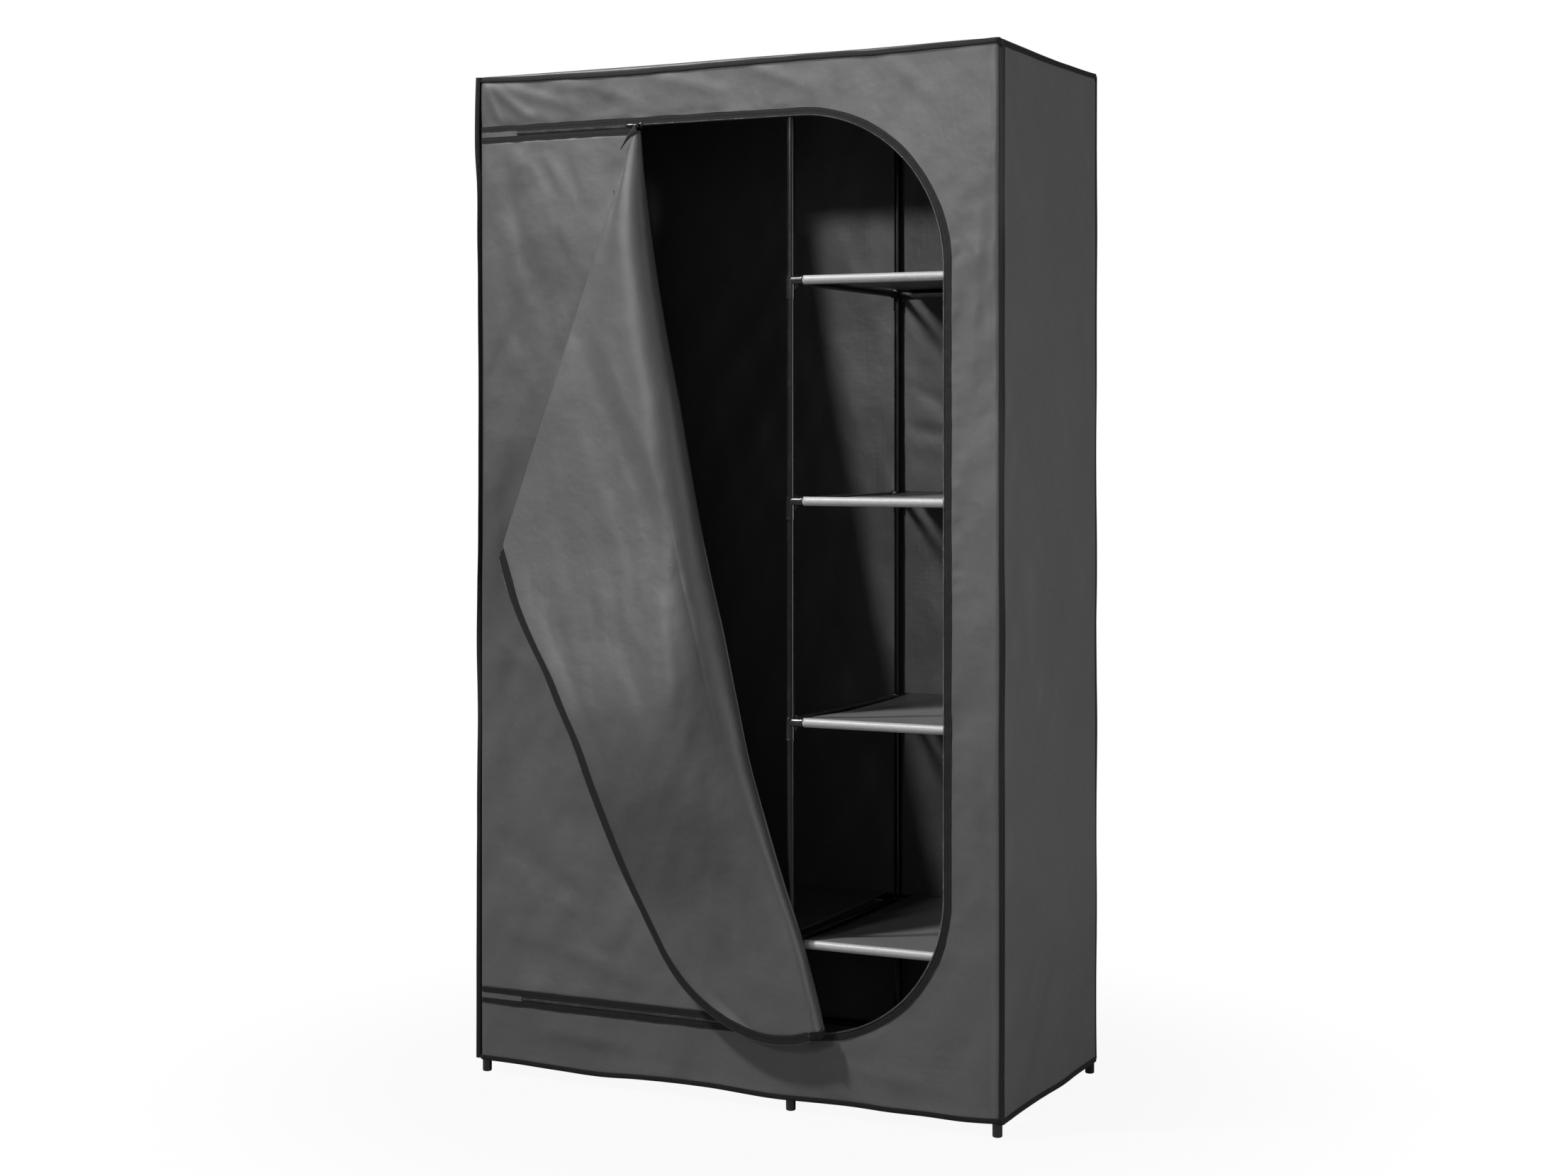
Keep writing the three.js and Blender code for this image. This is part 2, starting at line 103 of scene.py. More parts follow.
def swell(across: Array, up: Array, size: tuple[float, float], seed: float) -> Array:
    """Noise from -1 to 1 over a surface, in swells of a width and a height."""
    pairs = zip(np.ravel(across) / size[0], np.ravel(up) / size[1])
    return noise_at(((a, b, seed * SWELL_STRIDE) for a, b in pairs), np.shape(across))


def smooth(values: Array, low: float, high: float) -> Array:
    """Smooth step from 0 at low to 1 at high."""
    t = np.clip((np.asarray(values, float) - low) / (high - low), 0, 1)
    return t * t * (3 - 2 * t)


def follow(points: Sequence[tuple[float, float]], at: Array) -> Array:
    """Read a smooth curve through measured points.

    Args:
        points: Pairs of place and value, in rising order of place.
        at: Places to read, in the same unit.

    Returns:
        The value at each place.
    """
    xs, ys = np.array(points, float).T
    slope = np.gradient(ys, xs)
    i = np.clip(np.searchsorted(xs, at) - 1, 0, len(xs) - 2)
    h = xs[i + 1] - xs[i]
    t = np.clip((at - xs[i]) / h, 0, 1)
    a, b = 2 * t**3 - 3 * t**2 + 1, t**3 - 2 * t**2 + t
    c, d = -2 * t**3 + 3 * t**2, t**3 - t**2
    return a * ys[i] + b * h * slope[i] + c * ys[i + 1] + d * h * slope[i + 1]


def walked(path: Array) -> Array:
    """Distance along a path at each of its points."""
    return np.concatenate([[0], np.cumsum(np.linalg.norm(np.diff(path, axis=0), axis=1))])


def walked_across(grid: Array) -> Array:
    """Distance along each row of a grid at each of its points."""
    return np.stack([walked(row) for row in grid])


def read_off(points: Array, at: Array, places: Array) -> Array:
    """Points at places between points whose own places are known."""
    return np.stack([np.interp(places, at, column) for column in points.T], axis=1)


def by_length(points: Array, step: float) -> Array:
    """Points spaced evenly along a path, its two ends included."""
    at = walked(points)
    return read_off(points, at, np.linspace(0, at[-1], max(2, int(round(at[-1] / step)) + 1)))


def spots(x: Array | float, y: Array | float, z: Array | float) -> Array:
    """Points from their coordinates, each an array or one number for all."""
    return np.stack(np.broadcast_arrays(x, y, z), axis=-1)


def laid_out(along: Array, across: Array) -> Array:
    """Flat coordinates of a grid, from those of its rows and of its columns."""
    return np.stack(np.meshgrid(along, across, indexing="ij"), axis=-1)


def tangents(path: Array) -> Array:
    """Unit direction of a path at each of its points."""
    return unit(np.gradient(path, axis=0))


def unit(vectors: Array) -> Array:
    """The same directions with a length of one."""
    return vectors / np.maximum(np.linalg.norm(vectors, axis=-1, keepdims=True), 1e-12)


def round_bar(half_width: float, half_height: float, steps: int = 3) -> Array:
    """Outline of a flat bar with rounded edges, for a sweep.

    Args:
        half_width: Half of its wide side.
        half_height: Half of its thickness.
        steps: Facets on each quarter of a rounded edge.

    Returns:
        Points round the outline, anticlockwise.
    """
    radius = min(half_height, half_width)
    points = []
    for quarter in range(4):
        centre_x = (half_width - radius) * (1 if quarter in (0, 3) else -1)
        centre_y = (half_height - radius) * (1 if quarter in (0, 1) else -1)
        for i in range(steps + 1):
            angle = math.pi / 2 * (quarter + i / steps)
            points.append((centre_x + radius * math.cos(angle), centre_y + radius * math.sin(angle)))
    return np.array(points)


def ring(radius: float, sides: int) -> Array:
    """Points round a circle, anticlockwise."""
    angle = np.arange(sides) * 2 * math.pi / sides
    return np.stack([radius * np.cos(angle), radius * np.sin(angle)], axis=1)


def placed(name: str, data: bpy.types.ID) -> bpy.types.Object:
    """A new object in the scene, at the origin.

    Args:
        name: Its name.
        data: Its mesh, lamp or camera.

    Returns:
        The object.
    """
    made = bpy.data.objects.new(name, data)
    bpy.context.scene.collection.objects.link(made)
    return made


def node_box(name: str) -> tuple[Vector, Vector]:
    """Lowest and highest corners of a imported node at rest."""
    low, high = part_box(name)
    return Vector(low), Vector(high)


def node_middle(name: str) -> Array:
    """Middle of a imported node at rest."""
    low, high = node_box(name)
    return (np.array(low) + np.array(high)) / 2


class Geometry:
    """Vertices and faces that gather into one mesh."""

    def __init__(self) -> None:
        """Start with nothing."""
        self.vertices: list[Array] = []
        self.faces: list[tuple[int, ...]] = []
        self.sides: list[int] = []
        self.uvs: list[Array] = []
        self.reliefs: list[Array] = []
        self.count = 0

    def add(self, vertices: Array, faces: Sequence[Sequence[int]], uvs: Array | None = None) -> "Geometry":
        """Add one shape.

        Args:
            vertices: Its points.
            faces: Its faces, as indices of those points.
            uvs: A flat coordinate in metres for each point, or None.

        Returns:
            This geometry.
        """
        self.vertices.append(np.asarray(vertices, float))
        self.uvs.append(np.zeros((len(vertices), 2)) if uvs is None else np.asarray(uvs, float))
        self.reliefs.append(np.zeros(len(vertices)))
        self.faces += [tuple(int(i) + self.count for i in face) for face in faces]
        self.sides += [0] * len(faces)
        self.count += len(vertices)
        return self

    def sweep(self, path: Array, side: Array, up: Array, section: Array, closed: bool = False) -> "Geometry":
        """Carry a closed outline along a path.

        Args:
            path: Points of the path.
            side: Direction of the outline's first coordinate at each point.
            up: Direction of its second coordinate at each point.
            section: The outline, anticlockwise when seen against side x up.
            closed: Whether the path meets itself.

        Returns:
            This geometry.
        """
        n, m = len(path), len(section)
        points = path[:, None] + side[:, None] * section[None, :, :1] + up[:, None] * section[None, :, 1:]
        uvs = np.stack([np.repeat(walked(path), m), np.tile(walked(section), n)], axis=1)
        rows = [(i * m, (i + 1) % n * m) for i in range(n if closed else n - 1)]
        faces = [(a + j, a + (j + 1) % m, b + (j + 1) % m, b + j) for a, b in rows for j in range(m)]
        if not closed:
            faces += [tuple(reversed(range(m))), tuple(range((n - 1) * m, n * m))]
        if np.cross(side[0], up[0]) @ (path[1] - path[0]) <= 0:
            faces = [face[::-1] for face in faces]
        return self.add(points.reshape(-1, 3), faces, uvs)

    def turn(self, profile: Profile, centre: Array, axis: Array, sides: int = 32) -> "Geometry":
        """Turn a closed solid about an axis.

        Args:
            profile: Radius and distance along the axis, from one end on the axis to the other.
            centre: Where the distance is nought.
            axis: Direction of the axis.
            sides: Facets round it.

        Returns:
            This geometry.
        """
        way = np.array(axis, float) / np.linalg.norm(axis)
        side = unit(np.cross((0, 0, 1.0) if abs(way[2]) < 0.9 else (1.0, 0, 0), way))
        up = np.cross(way, side)
        points: list[Array] = []
        rows: list[list[int]] = []
        for radius, distance in profile:
            middle = np.asarray(centre, float) + way * distance
            if radius < 1e-9:
                rows.append([len(points)] * sides)
                points.append(middle)
            else:
                rows.append(list(range(len(points), len(points) + sides)))
                points += [middle + side * x + up * y for x, y in ring(radius, sides)]
        faces = []
        for low, high in zip(rows, rows[1:]):
            for j in range(sides):
                k = (j + 1) % sides
                faces.append(tuple(dict.fromkeys((low[j], low[k], high[k], high[j]))))
        faces = [face for face in faces if len(face) > 2]
        if profile[-1][1] < profile[0][1]:
            faces = [face[::-1] for face in faces]
        return self.add(np.array(points), faces)

    def shell(
        self, outer: Array, thickness: float, toward: Array, uv: Array, relief: Array | None = None
    ) -> "Geometry":
        """Give a grid of points a thickness and closed rims.

        Args:
            outer: Points of the outer face, as rows and columns.
            thickness: How thick the cloth is.
            toward: Rough direction that the outer face looks in.
            uv: A flat coordinate for each point.
            relief: Height of soft folds that only the shading shows, at each point, or None.

        Returns:
            This geometry.
        """
        normal = unit(np.cross(np.gradient(outer, axis=1), np.gradient(outer, axis=0)))
        flip = np.sum(normal * np.asarray(toward, float)) < 0
        inner = outer - normal * (-thickness if flip else thickness)
        index = np.arange(outer[..., 0].size).reshape(outer.shape[:2])
        a, b, c, d = index[:-1, :-1], index[:-1, 1:], index[1:, 1:], index[1:, :-1]
        cells = np.stack([np.stack([a, b, c, d], -1), np.stack([a, d, c, b], -1) + index.size], 2)
        edges = (
            (index[0, 1:], index[0, :-1]), (index[-1, :-1], index[-1, 1:]),
            (index[:-1, 0], index[1:, 0]), (index[1:, -1], index[:-1, -1]),
        )
        rims = [np.stack([p, q, q + index.size, p + index.size], -1) for p, q in edges]
        faces = np.concatenate([cells.reshape(-1, 4), *rims])
        points = np.concatenate([outer.reshape(-1, 3), inner.reshape(-1, 3)])
        self.add(points, faces[:, ::-1] if flip else faces, np.concatenate([uv.reshape(-1, 2)] * 2))
        if relief is not None:
            self.reliefs[-1] = np.concatenate([relief.ravel(), -relief.ravel()])
        self.sides[len(self.sides) - len(faces) :] = [0, 1] * a.size + [0] * (len(faces) - 2 * a.size)
        return self

    def build(self, name: str, sharp: float | None = 40.0) -> bpy.types.Object:
        """Make the object.

        Args:
            name: The piece's name.
            sharp: Angle in degrees over which an edge is sharp, or None for smooth all over.

        Returns:
            The new object, at the origin.
        """
        mesh = bpy.data.meshes.new(name)
        mesh.from_pydata(np.concatenate(self.vertices).tolist(), [], self.faces)
        mesh.polygons.foreach_set("material_index", self.sides)
        corner = np.empty(len(mesh.loops), dtype=np.int32)
        mesh.loops.foreach_get("vertex_index", corner)
        flat = np.concatenate(self.uvs)[corner].astype(np.float32)
        mesh.uv_layers.new(name="UVMap").data.foreach_set("uv", flat.ravel())
        relief = np.concatenate(self.reliefs).astype(np.float32)
        if np.any(relief):
            mesh.attributes.new("relief", "FLOAT", "POINT").data.foreach_set("value", relief)
        mesh.validate()
        mesh.shade_smooth()
        if sharp is not None:
            mesh.set_sharp_from_angle(angle=math.radians(sharp))
        return placed(name, mesh)


# Materials


class Socket:
    """A value in a shader tree, with arithmetic that adds Math nodes."""

    def __init__(self, shader: "Shader", link: bpy.types.NodeSocket) -> None:
        """Hold one output socket of a shader's tree."""
        self.shader = shader
        self.link = link

    def _math(self, operation: str, first: "Socket | float", second: "Socket | float") -> "Socket":
        """Add a Math node and give its result."""
        made = self.shader.node("ShaderNodeMath", {"operation": operation}, {0: first, 1: second})
        return Socket(self.shader, made.outputs[0])

    def __add__(self, other: "Socket | float") -> "Socket":
        """Sum."""
        return self._math("ADD", self, other)

    __radd__ = __add__

    def __sub__(self, other: "Socket | float") -> "Socket":
        """Difference."""
        return self._math("SUBTRACT", self, other)

    def __rsub__(self, other: "Socket | float") -> "Socket":
        """Difference the other way round."""
        return self._math("SUBTRACT", other, self)

    def __mul__(self, other: "Socket | float") -> "Socket":
        """Product."""
        return self._math("MULTIPLY", self, other)

    __rmul__ = __mul__

    def __pow__(self, other: float) -> "Socket":
        """Power."""
        return self._math("POWER", self, other)

    def step(self, low: float, high: float) -> "Socket":
        """Smooth step from 0 at low to 1 at high."""
        settings = {"interpolation_type": "SMOOTHSTEP"}
        inputs = {"Value": self, "From Min": low, "From Max": high}
        made = self.shader.node("ShaderNodeMapRange", settings, inputs)
        return Socket(self.shader, made.outputs["Result"])


class Shader:
    """One material's node tree."""

    def __init__(self, name: str) -> None:
        """Start an empty material."""
        self.material = bpy.data.materials.new(name)
        self.material.use_nodes = True
        self.tree = self.material.node_tree
        self.tree.nodes.clear()

    def node(self, kind: str, settings: dict | None = None, inputs: dict | None = None) -> bpy.types.Node:
        """Add a node.

        Args:
            kind: Its type.
            settings: Its properties, set first. stops are a ramp's places and colours.
            inputs: Values or links of its sockets, by name or number.

        Returns:
            The node.
        """
        made = self.tree.nodes.new(kind)
        for key, value in (settings or {}).items():
            if key == "stops":
                elements = made.color_ramp.elements
                while len(elements) < len(value):
                    elements.new(0.5)
                for element, (place, colour) in zip(elements, value):
                    element.position = place
                    element.color = colour
            else:
                setattr(made, key, value)
        for key, value in (inputs or {}).items():
            if isinstance(value, Socket):
                self.tree.links.new(value.link, made.inputs[key])
            else:
                made.inputs[key].default_value = value
        return made

    def place(self, scale: tuple[float, float, float] = (1, 1, 1), surface: bool = False) -> Socket:
        """Coordinates in metres, of the object or of the piece's own flat layout."""
        source = self.node("ShaderNodeTexCoord").outputs["UV" if surface else "Object"]
        inputs = {"Vector": Socket(self, source), "Scale": scale}
        return Socket(self, self.node("ShaderNodeMapping", None, inputs).outputs[0])

    def grain(self, where: Socket, scale: float, detail: float = 2, roughness: float = 0.5) -> Socket:
        """Noise from 0 to 1 at a number of swells in a metre."""
        inputs = {"Vector": where, "Scale": scale, "Detail": detail, "Roughness": roughness}
        return Socket(self, self.node("ShaderNodeTexNoise", None, inputs).outputs[0])

    def mix(self, factor: Socket, first: Sequence[float], second: Sequence[float]) -> Socket:
        """Blend between two colours."""
        inputs = {0: factor, 6: (*first, 1), 7: (*second, 1)}
        made = self.node("ShaderNodeMix", {"data_type": "RGBA"}, inputs)
        return Socket(self, made.outputs[2])

    def bump(
        self, height: Socket, distance: float, strength: float = 1, below: Socket | None = None
    ) -> Socket:
        """Bump from a height in units of a distance in metres."""
        inputs = {"Height": height, "Distance": distance, "Strength": strength}
        if below is not None:
            inputs["Normal"] = below
        return Socket(self, self.node("ShaderNodeBump", None, inputs).outputs[0])

    def finish(self, inputs: dict) -> bpy.types.Material:
        """Close the tree with a Principled surface of these inputs."""
        surface = self.node("ShaderNodeBsdfPrincipled", None, inputs)
        self.node("ShaderNodeOutputMaterial", None, {"Surface": Socket(self, surface.outputs[0])})
        return self.material


@dataclass(frozen=True)
class ClothFinish:
    """Coated non-woven cloth: fine fibres, a soft mottle and shallow creases."""

    name: str
    colour: tuple[float, float, float]
    mottle: float = 0.06
    grain: float = 0.17
    grain_scale: float = 430
    roughness: float = 0.5
    sheen: float = 0.0
    crease: float = 0.0010

    def build(self) -> bpy.types.Material:
        """Make the material."""
        shader = Shader(self.name)
        where = shader.place()
        cloud = shader.grain(where, 9, 3)
        fibre = shader.grain(where, self.grain_scale, 3, 0.7)
        fleck = shader.grain(where, self.grain_scale * 0.32, 2, 0.6)
        tone = (cloud - 0.5) * (2 * self.mottle) + (fibre - 0.5) * (2 * self.grain)
        tone = tone + (fleck - 0.5) * self.grain
        dark = tuple(0.75 * c for c in self.colour)
        light = tuple(1.25 * c for c in self.colour)
        base = shader.mix(tone * 2.0 + 0.5, dark, light)
        relief = shader.node("ShaderNodeAttribute", {"attribute_name": "relief"}).outputs["Fac"]
        soft = shader.bump(Socket(shader, relief), 1.0)
        folds = shader.grain(where, 26, 2, 0.45)
        puckers = shader.bump(folds, self.crease * 2.2, 0.7, soft)
        coarse = shader.bump(fleck, 0.00022, 0.5, puckers)
        normal = shader.bump(fibre, 0.00010, 0.6, coarse)
        return shader.finish({
            "Base Color": base,
            "Roughness": self.roughness + (fibre - 0.5) * 0.25 + (cloud - 0.5) * 0.12,
            "Sheen Weight": self.sheen,
            "Sheen Roughness": 0.4,
            "Specular IOR Level": 0.5,
            "Normal": normal,
        })


@dataclass(frozen=True)
class ShelfFinish:
    """Silver shelf cloth, with painted shade darkening the flat and a painted highlight brightening the
    sleeves round the rails.
    """

    name: str
    # Two ends of one cloth's tone: painted shade for the flat and a painted highlight for the sleeves
    painted_shade_colour: tuple[float, float, float] = (0.045, 0.0453, 0.046)
    painted_highlight_colour: tuple[float, float, float] = (0.43, 0.433, 0.437)
    length: float = 0.478
    sleeve: float = 38 * MM
    grain_scale: float = 620

    def build(self) -> bpy.types.Material:
        """Make the material."""
        shader = Shader(self.name)
        where = shader.place()
        apart = shader.node("ShaderNodeSeparateXYZ", None, {0: shader.place(surface=True)}).outputs[1]
        middle = self.length / 2
        reach = middle - self.sleeve
        # Mask of the sleeves round the rails, which get the painted highlight, while the flat between them
        # gets painted shade
        painted_sleeve_light = (((Socket(shader, apart) - middle) * (1 / reach)) ** 2).step(0.985, 1.015)
        cloud = shader.grain(where, 9, 3)
        fibre = shader.grain(where, self.grain_scale, 3, 0.75)
        fleck = shader.grain(where, self.grain_scale * 0.35, 2, 0.6)
        tone = (cloud - 0.5) * 0.12 + (fibre - 0.5) * 0.55 + (fleck - 0.5) * 0.25
        base = shader.mix(painted_sleeve_light * (0.62 + tone) + (1 - painted_sleeve_light) * (0.17 + tone * 0.3), self.painted_shade_colour, self.painted_highlight_colour)
        folds = shader.grain(where, 22, 2, 0.45)
        normal = shader.bump(fibre, 0.00012, 0.7, shader.bump(folds, 0.0016, 0.7))
        return shader.finish({"Base Color": base, "Roughness": 0.42 + (fibre - 0.5) * 0.3, "Normal": normal})


@dataclass(frozen=True)
class TapeFinish:
    """Woven black tape: ribs across it and pale specks of dust all over."""

    name: str
    colour: tuple[float, float, float]
    rib: float = 2.9 * MM

    def build(self) -> bpy.types.Material:
        """Make the material."""
        shader = Shader(self.name)
        flat = shader.place(surface=True)
        where = shader.place()
        settings = {"wave_type": "BANDS", "bands_direction": "X"}
        inputs = {"Vector": flat, "Scale": 0.314 / self.rib, "Distortion": 0.5, "Detail": 1}
        ribs = Socket(shader, shader.node("ShaderNodeTexWave", settings, inputs).outputs[1])
        dust = shader.grain(where, 420, 3, 0.7)
        cloud = shader.grain(where, 24, 2)
        light = tuple(3.0 * c for c in self.colour)
        base = shader.mix(dust.step(0.42, 0.78) * (0.35 + 0.5 * cloud), self.colour, light)
        normal = shader.bump(ribs * 0.6 + dust * 0.4, 0.00025, 0.8)
        return shader.finish({
            "Base Color": base,
            "Roughness": 0.66 + (dust - 0.5) * 0.3,
            "Specular IOR Level": 0.22,
            "Sheen Weight": 0.03,
            "Normal": normal,
        })


@dataclass(frozen=True)
class HardFinish:
    """Powder coat, moulded plastic or enamel: its gloss, and an orange-peel or fine texture."""

    name: str
    colour: tuple[float, float, float]
    roughness: float
    metallic: float = 0.0
    coat: float = 0.0
    peel: float = 0.00003
    peel_scale: float = 380

    def build(self) -> bpy.types.Material:
        """Make the material."""
        shader = Shader(self.name)
        where = shader.place()
        peel = shader.grain(where, self.peel_scale, 2, 0.5)
        wear = shader.grain(where, 45, 4, 0.6)
        light = tuple(1.9 * c + 0.002 for c in self.colour)
        return shader.finish({
            "Base Color": shader.mix(wear.step(0.45, 0.8), self.colour, light),
            "Roughness": self.roughness + (wear - 0.5) * 0.16,
            "Metallic": self.metallic,
            "Coat Weight": self.coat,
            "Coat Roughness": 0.15,
            "Normal": shader.bump(peel, self.peel, 0.8),
        })


@dataclass(frozen=True)
class StageFinish:
    """White floor that the camera sees as white."""

    name: str = "stage_floor"
    colour: tuple[float, float, float] = (0.24, 0.24, 0.24)
    # Middle and half size of the ground inside the wardrobe, which stays in its shade
    shade_middle: tuple[float, float] = (-0.03, 0.045)
    shade_half: tuple[float, float] = (0.37, 0.145)

    def shade(self, shader: Shader, where: Socket) -> Socket:
        """Mask of the ground inside the wardrobe."""
        apart = shader.node("ShaderNodeSeparateXYZ", None, {0: where}).outputs
        across = ((Socket(shader, apart[0]) - self.shade_middle[0]) * (1 / self.shade_half[0])) ** 2
        deep = ((Socket(shader, apart[1]) - self.shade_middle[1]) * (1 / self.shade_half[1])) ** 2
        return (1 - across.step(0.8, 1.0)) * (1 - deep.step(0.7, 1.0))

    def build(self) -> bpy.types.Material:
        """Make the material."""
        shader = Shader(self.name)
        where = shader.place()
        haze = shader.grain(where, 2, 2)
        pale = tuple(0.97 * c for c in self.colour)
        surface = {"Base Color": shader.mix(haze, self.colour, pale), "Roughness": 0.9}
        lit = shader.node("ShaderNodeBsdfPrincipled", None, surface)
        white = shader.node("ShaderNodeEmission", None, {"Color": (1, 1, 1, 1), "Strength": 1.0})
        seen = Socket(shader, shader.node("ShaderNodeLightPath").outputs["Is Camera Ray"])
        length = shader.node("ShaderNodeVectorMath", {"operation": "LENGTH"}, {0: where})
        far = Socket(shader, length.outputs["Value"]).step(0.45, 1.1)
        shown = (0.93 + 0.07 * far) * (1 - self.shade(shader, where))
        inputs = {0: seen * shown, 1: Socket(shader, lit.outputs[0]), 2: Socket(shader, white.outputs[0])}
        mixed = shader.node("ShaderNodeMixShader", None, inputs)
        shader.node("ShaderNodeOutputMaterial", None, {"Surface": Socket(shader, mixed.outputs[0])})
        return shader.material


class Finishes:
    """The finishes of the whole wardrobe, made once."""

    def __init__(self) -> None:
        """Build every material."""
        self.cover = ClothFinish("grey_cover_cloth", (0.064, 0.064, 0.0644)).build()
        self.lining = ClothFinish("grey_lining_cloth", (0.20, 0.20, 0.2005)).build()
        self.door_lining = ClothFinish("grey_door_lining_cloth", (0.225, 0.225, 0.2255)).build()
        self.cloth = (self.cover, self.lining)
        self.door_cloth = (self.cover, self.door_lining)
        self.shelf = ShelfFinish("silver_shelf_cloth").build()
        self.tape = TapeFinish("black_tape", (0.0042, 0.0036, 0.0033)).build()
        self.thread = HardFinish("dark_thread", (0.02, 0.018, 0.017), 0.6).build()
        self.tube = HardFinish("satin_black_tube", (0.004, 0.004, 0.004), 0.22, peel=0.00002).build()
        self.connector = HardFinish("gloss_black_connector", (0.006, 0.006, 0.006), 0.2, coat=0.3).build()
        self.coil = HardFinish("black_zip_coil", (0.045, 0.042, 0.040), 0.24, coat=0.5).build()
        self.enamel = HardFinish("black_zip_enamel", (0.014, 0.013, 0.013), 0.25, metallic=0.6).build()


def dress(
    piece: bpy.types.Object,
    material: bpy.types.Material | Sequence[bpy.types.Material],
    body: Body | None = Body.WARDROBE,
    nodes: Sequence[str] = (),
) -> bpy.types.Object:
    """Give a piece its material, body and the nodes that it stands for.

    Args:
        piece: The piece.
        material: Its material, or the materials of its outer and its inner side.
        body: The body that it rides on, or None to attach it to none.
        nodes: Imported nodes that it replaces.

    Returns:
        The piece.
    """
    sides = [material] if isinstance(material, bpy.types.Material) else list(material)
    piece.data.materials.clear()
    for side in sides:
        piece.data.materials.append(side)
    if len(sides) == 1:
        piece.data.polygons.foreach_set("material_index", [0] * len(piece.data.polygons))
    if body is not None:
        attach(piece, body.value)
    if nodes:
        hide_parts(*nodes)
    LOG.info("made %s", piece.name)
    return piece


# What repeats along a path


@dataclass
class Beads:
    """A Geometry Nodes tree that sets small rounded pieces along a path in an upright plane."""

    name: str
    pitch: float
    size: tuple[float, float, float]
    material: bpy.types.Material
    segments: int = 6
    rings: int = 4

    def tree(self) -> bpy.types.NodeTree:
        """Build the tree, with its sizes as named inputs."""
        tree = bpy.data.node_groups.new(self.name, "GeometryNodeTree")
        face = tree.interface
        face.new_socket("Path", in_out="INPUT", socket_type="NodeSocketGeometry")
        face.new_socket("Pitch", in_out="INPUT", socket_type="NodeSocketFloat").default_value = self.pitch
        face.new_socket("Size", in_out="INPUT", socket_type="NodeSocketVector").default_value = self.size
        face.new_socket("Beads", in_out="OUTPUT", socket_type="NodeSocketGeometry")

        def add(kind: str, inputs: dict | None = None, **settings: str) -> bpy.types.Node:
            """Add a node with its settings and the values of its inputs."""
            made = tree.nodes.new(kind)
            for key, value in settings.items():
                setattr(made, key, value)
            for key, value in (inputs or {}).items():
                made.inputs[key].default_value = value
            return made

        start, end = add("NodeGroupInput"), add("NodeGroupOutput")
        curve = add("GeometryNodeMeshToCurve")
        spaced = add("GeometryNodeResampleCurve", mode="LENGTH")
        way = add("GeometryNodeInputTangent")
        turn = add("FunctionNodeAlignRotationToVector", axis="X", pivot_axis="Y")
        round_off = {"Segments": self.segments, "Rings": self.rings, "Radius": 0.5}
        bead = add("GeometryNodeMeshUVSphere", round_off)
        copies = add("GeometryNodeInstanceOnPoints")
        real = add("GeometryNodeRealizeInstances")
        shade = add("GeometryNodeSetShadeSmooth")
        paint = add("GeometryNodeSetMaterial", {"Material": self.material})
        for source, output, target, entry in (
            (start, "Path", curve, "Mesh"), (curve, 0, spaced, "Curve"), (start, "Pitch", spaced, "Length"),
            (way, 0, turn, "Vector"), (spaced, 0, copies, "Points"), (bead, "Mesh", copies, "Instance"),
            (turn, 0, copies, "Rotation"), (start, "Size", copies, "Scale"), (copies, 0, real, 0),
            (real, 0, shade, 0), (shade, 0, paint, "Geometry"), (paint, 0, end, 0),
        ):
            tree.links.new(source.outputs[output], target.inputs[entry])
        return tree

    def along(self, name: str, paths: Sequence[Array]) -> bpy.types.Object:
        """Set the beads along one or more paths.

        Args:
            name: The new piece's name.
            paths: The paths' points.

        Returns:
            A plain mesh object.
        """
        points, edges = [], []
        for path in paths:
            edges += [(len(points) + i, len(points) + i + 1) for i in range(len(path) - 1)]
            points += [tuple(p) for p in path]
        line = bpy.data.meshes.new(f"{name}_path")
        line.from_pydata(points, edges, [])
        carrier = placed(f"{name}_path", line)
        modifier = carrier.modifiers.new("beads", "NODES")
        modifier.node_group = self.tree()
        values = {"Pitch": self.pitch, "Size": self.size}
        for item in modifier.node_group.interface.items_tree:
            if item.name in values:
                modifier[item.identifier] = values[item.name]
        shown = carrier.evaluated_get(bpy.context.evaluated_depsgraph_get())
        mesh = bpy.data.meshes.new_from_object(shown)
        carrier.modifiers.remove(modifier)
        bpy.data.objects.remove(carrier)
        mesh.name = name
        return placed(name, mesh)


# The cover's outline and its edges


def spread(length: float, step: float, dense: float = 9 * MM, fine: float = 1.6 * MM) -> Array:
    """Shares of a length, close together near its two ends.

    Args:
        length: The whole length.
        step: Distance between points in the middle.
        dense: Length at each end that gets close points.
        fine: Distance between those.

    Returns:
        Rising shares from 0 to 1.
    """
    start = np.arange(0, dense, fine)
    middle = np.linspace(dense, length - dense, max(2, int((length - 2 * dense) / step)))
    return np.concatenate([start, middle, (length - start)[::-1]]) / length


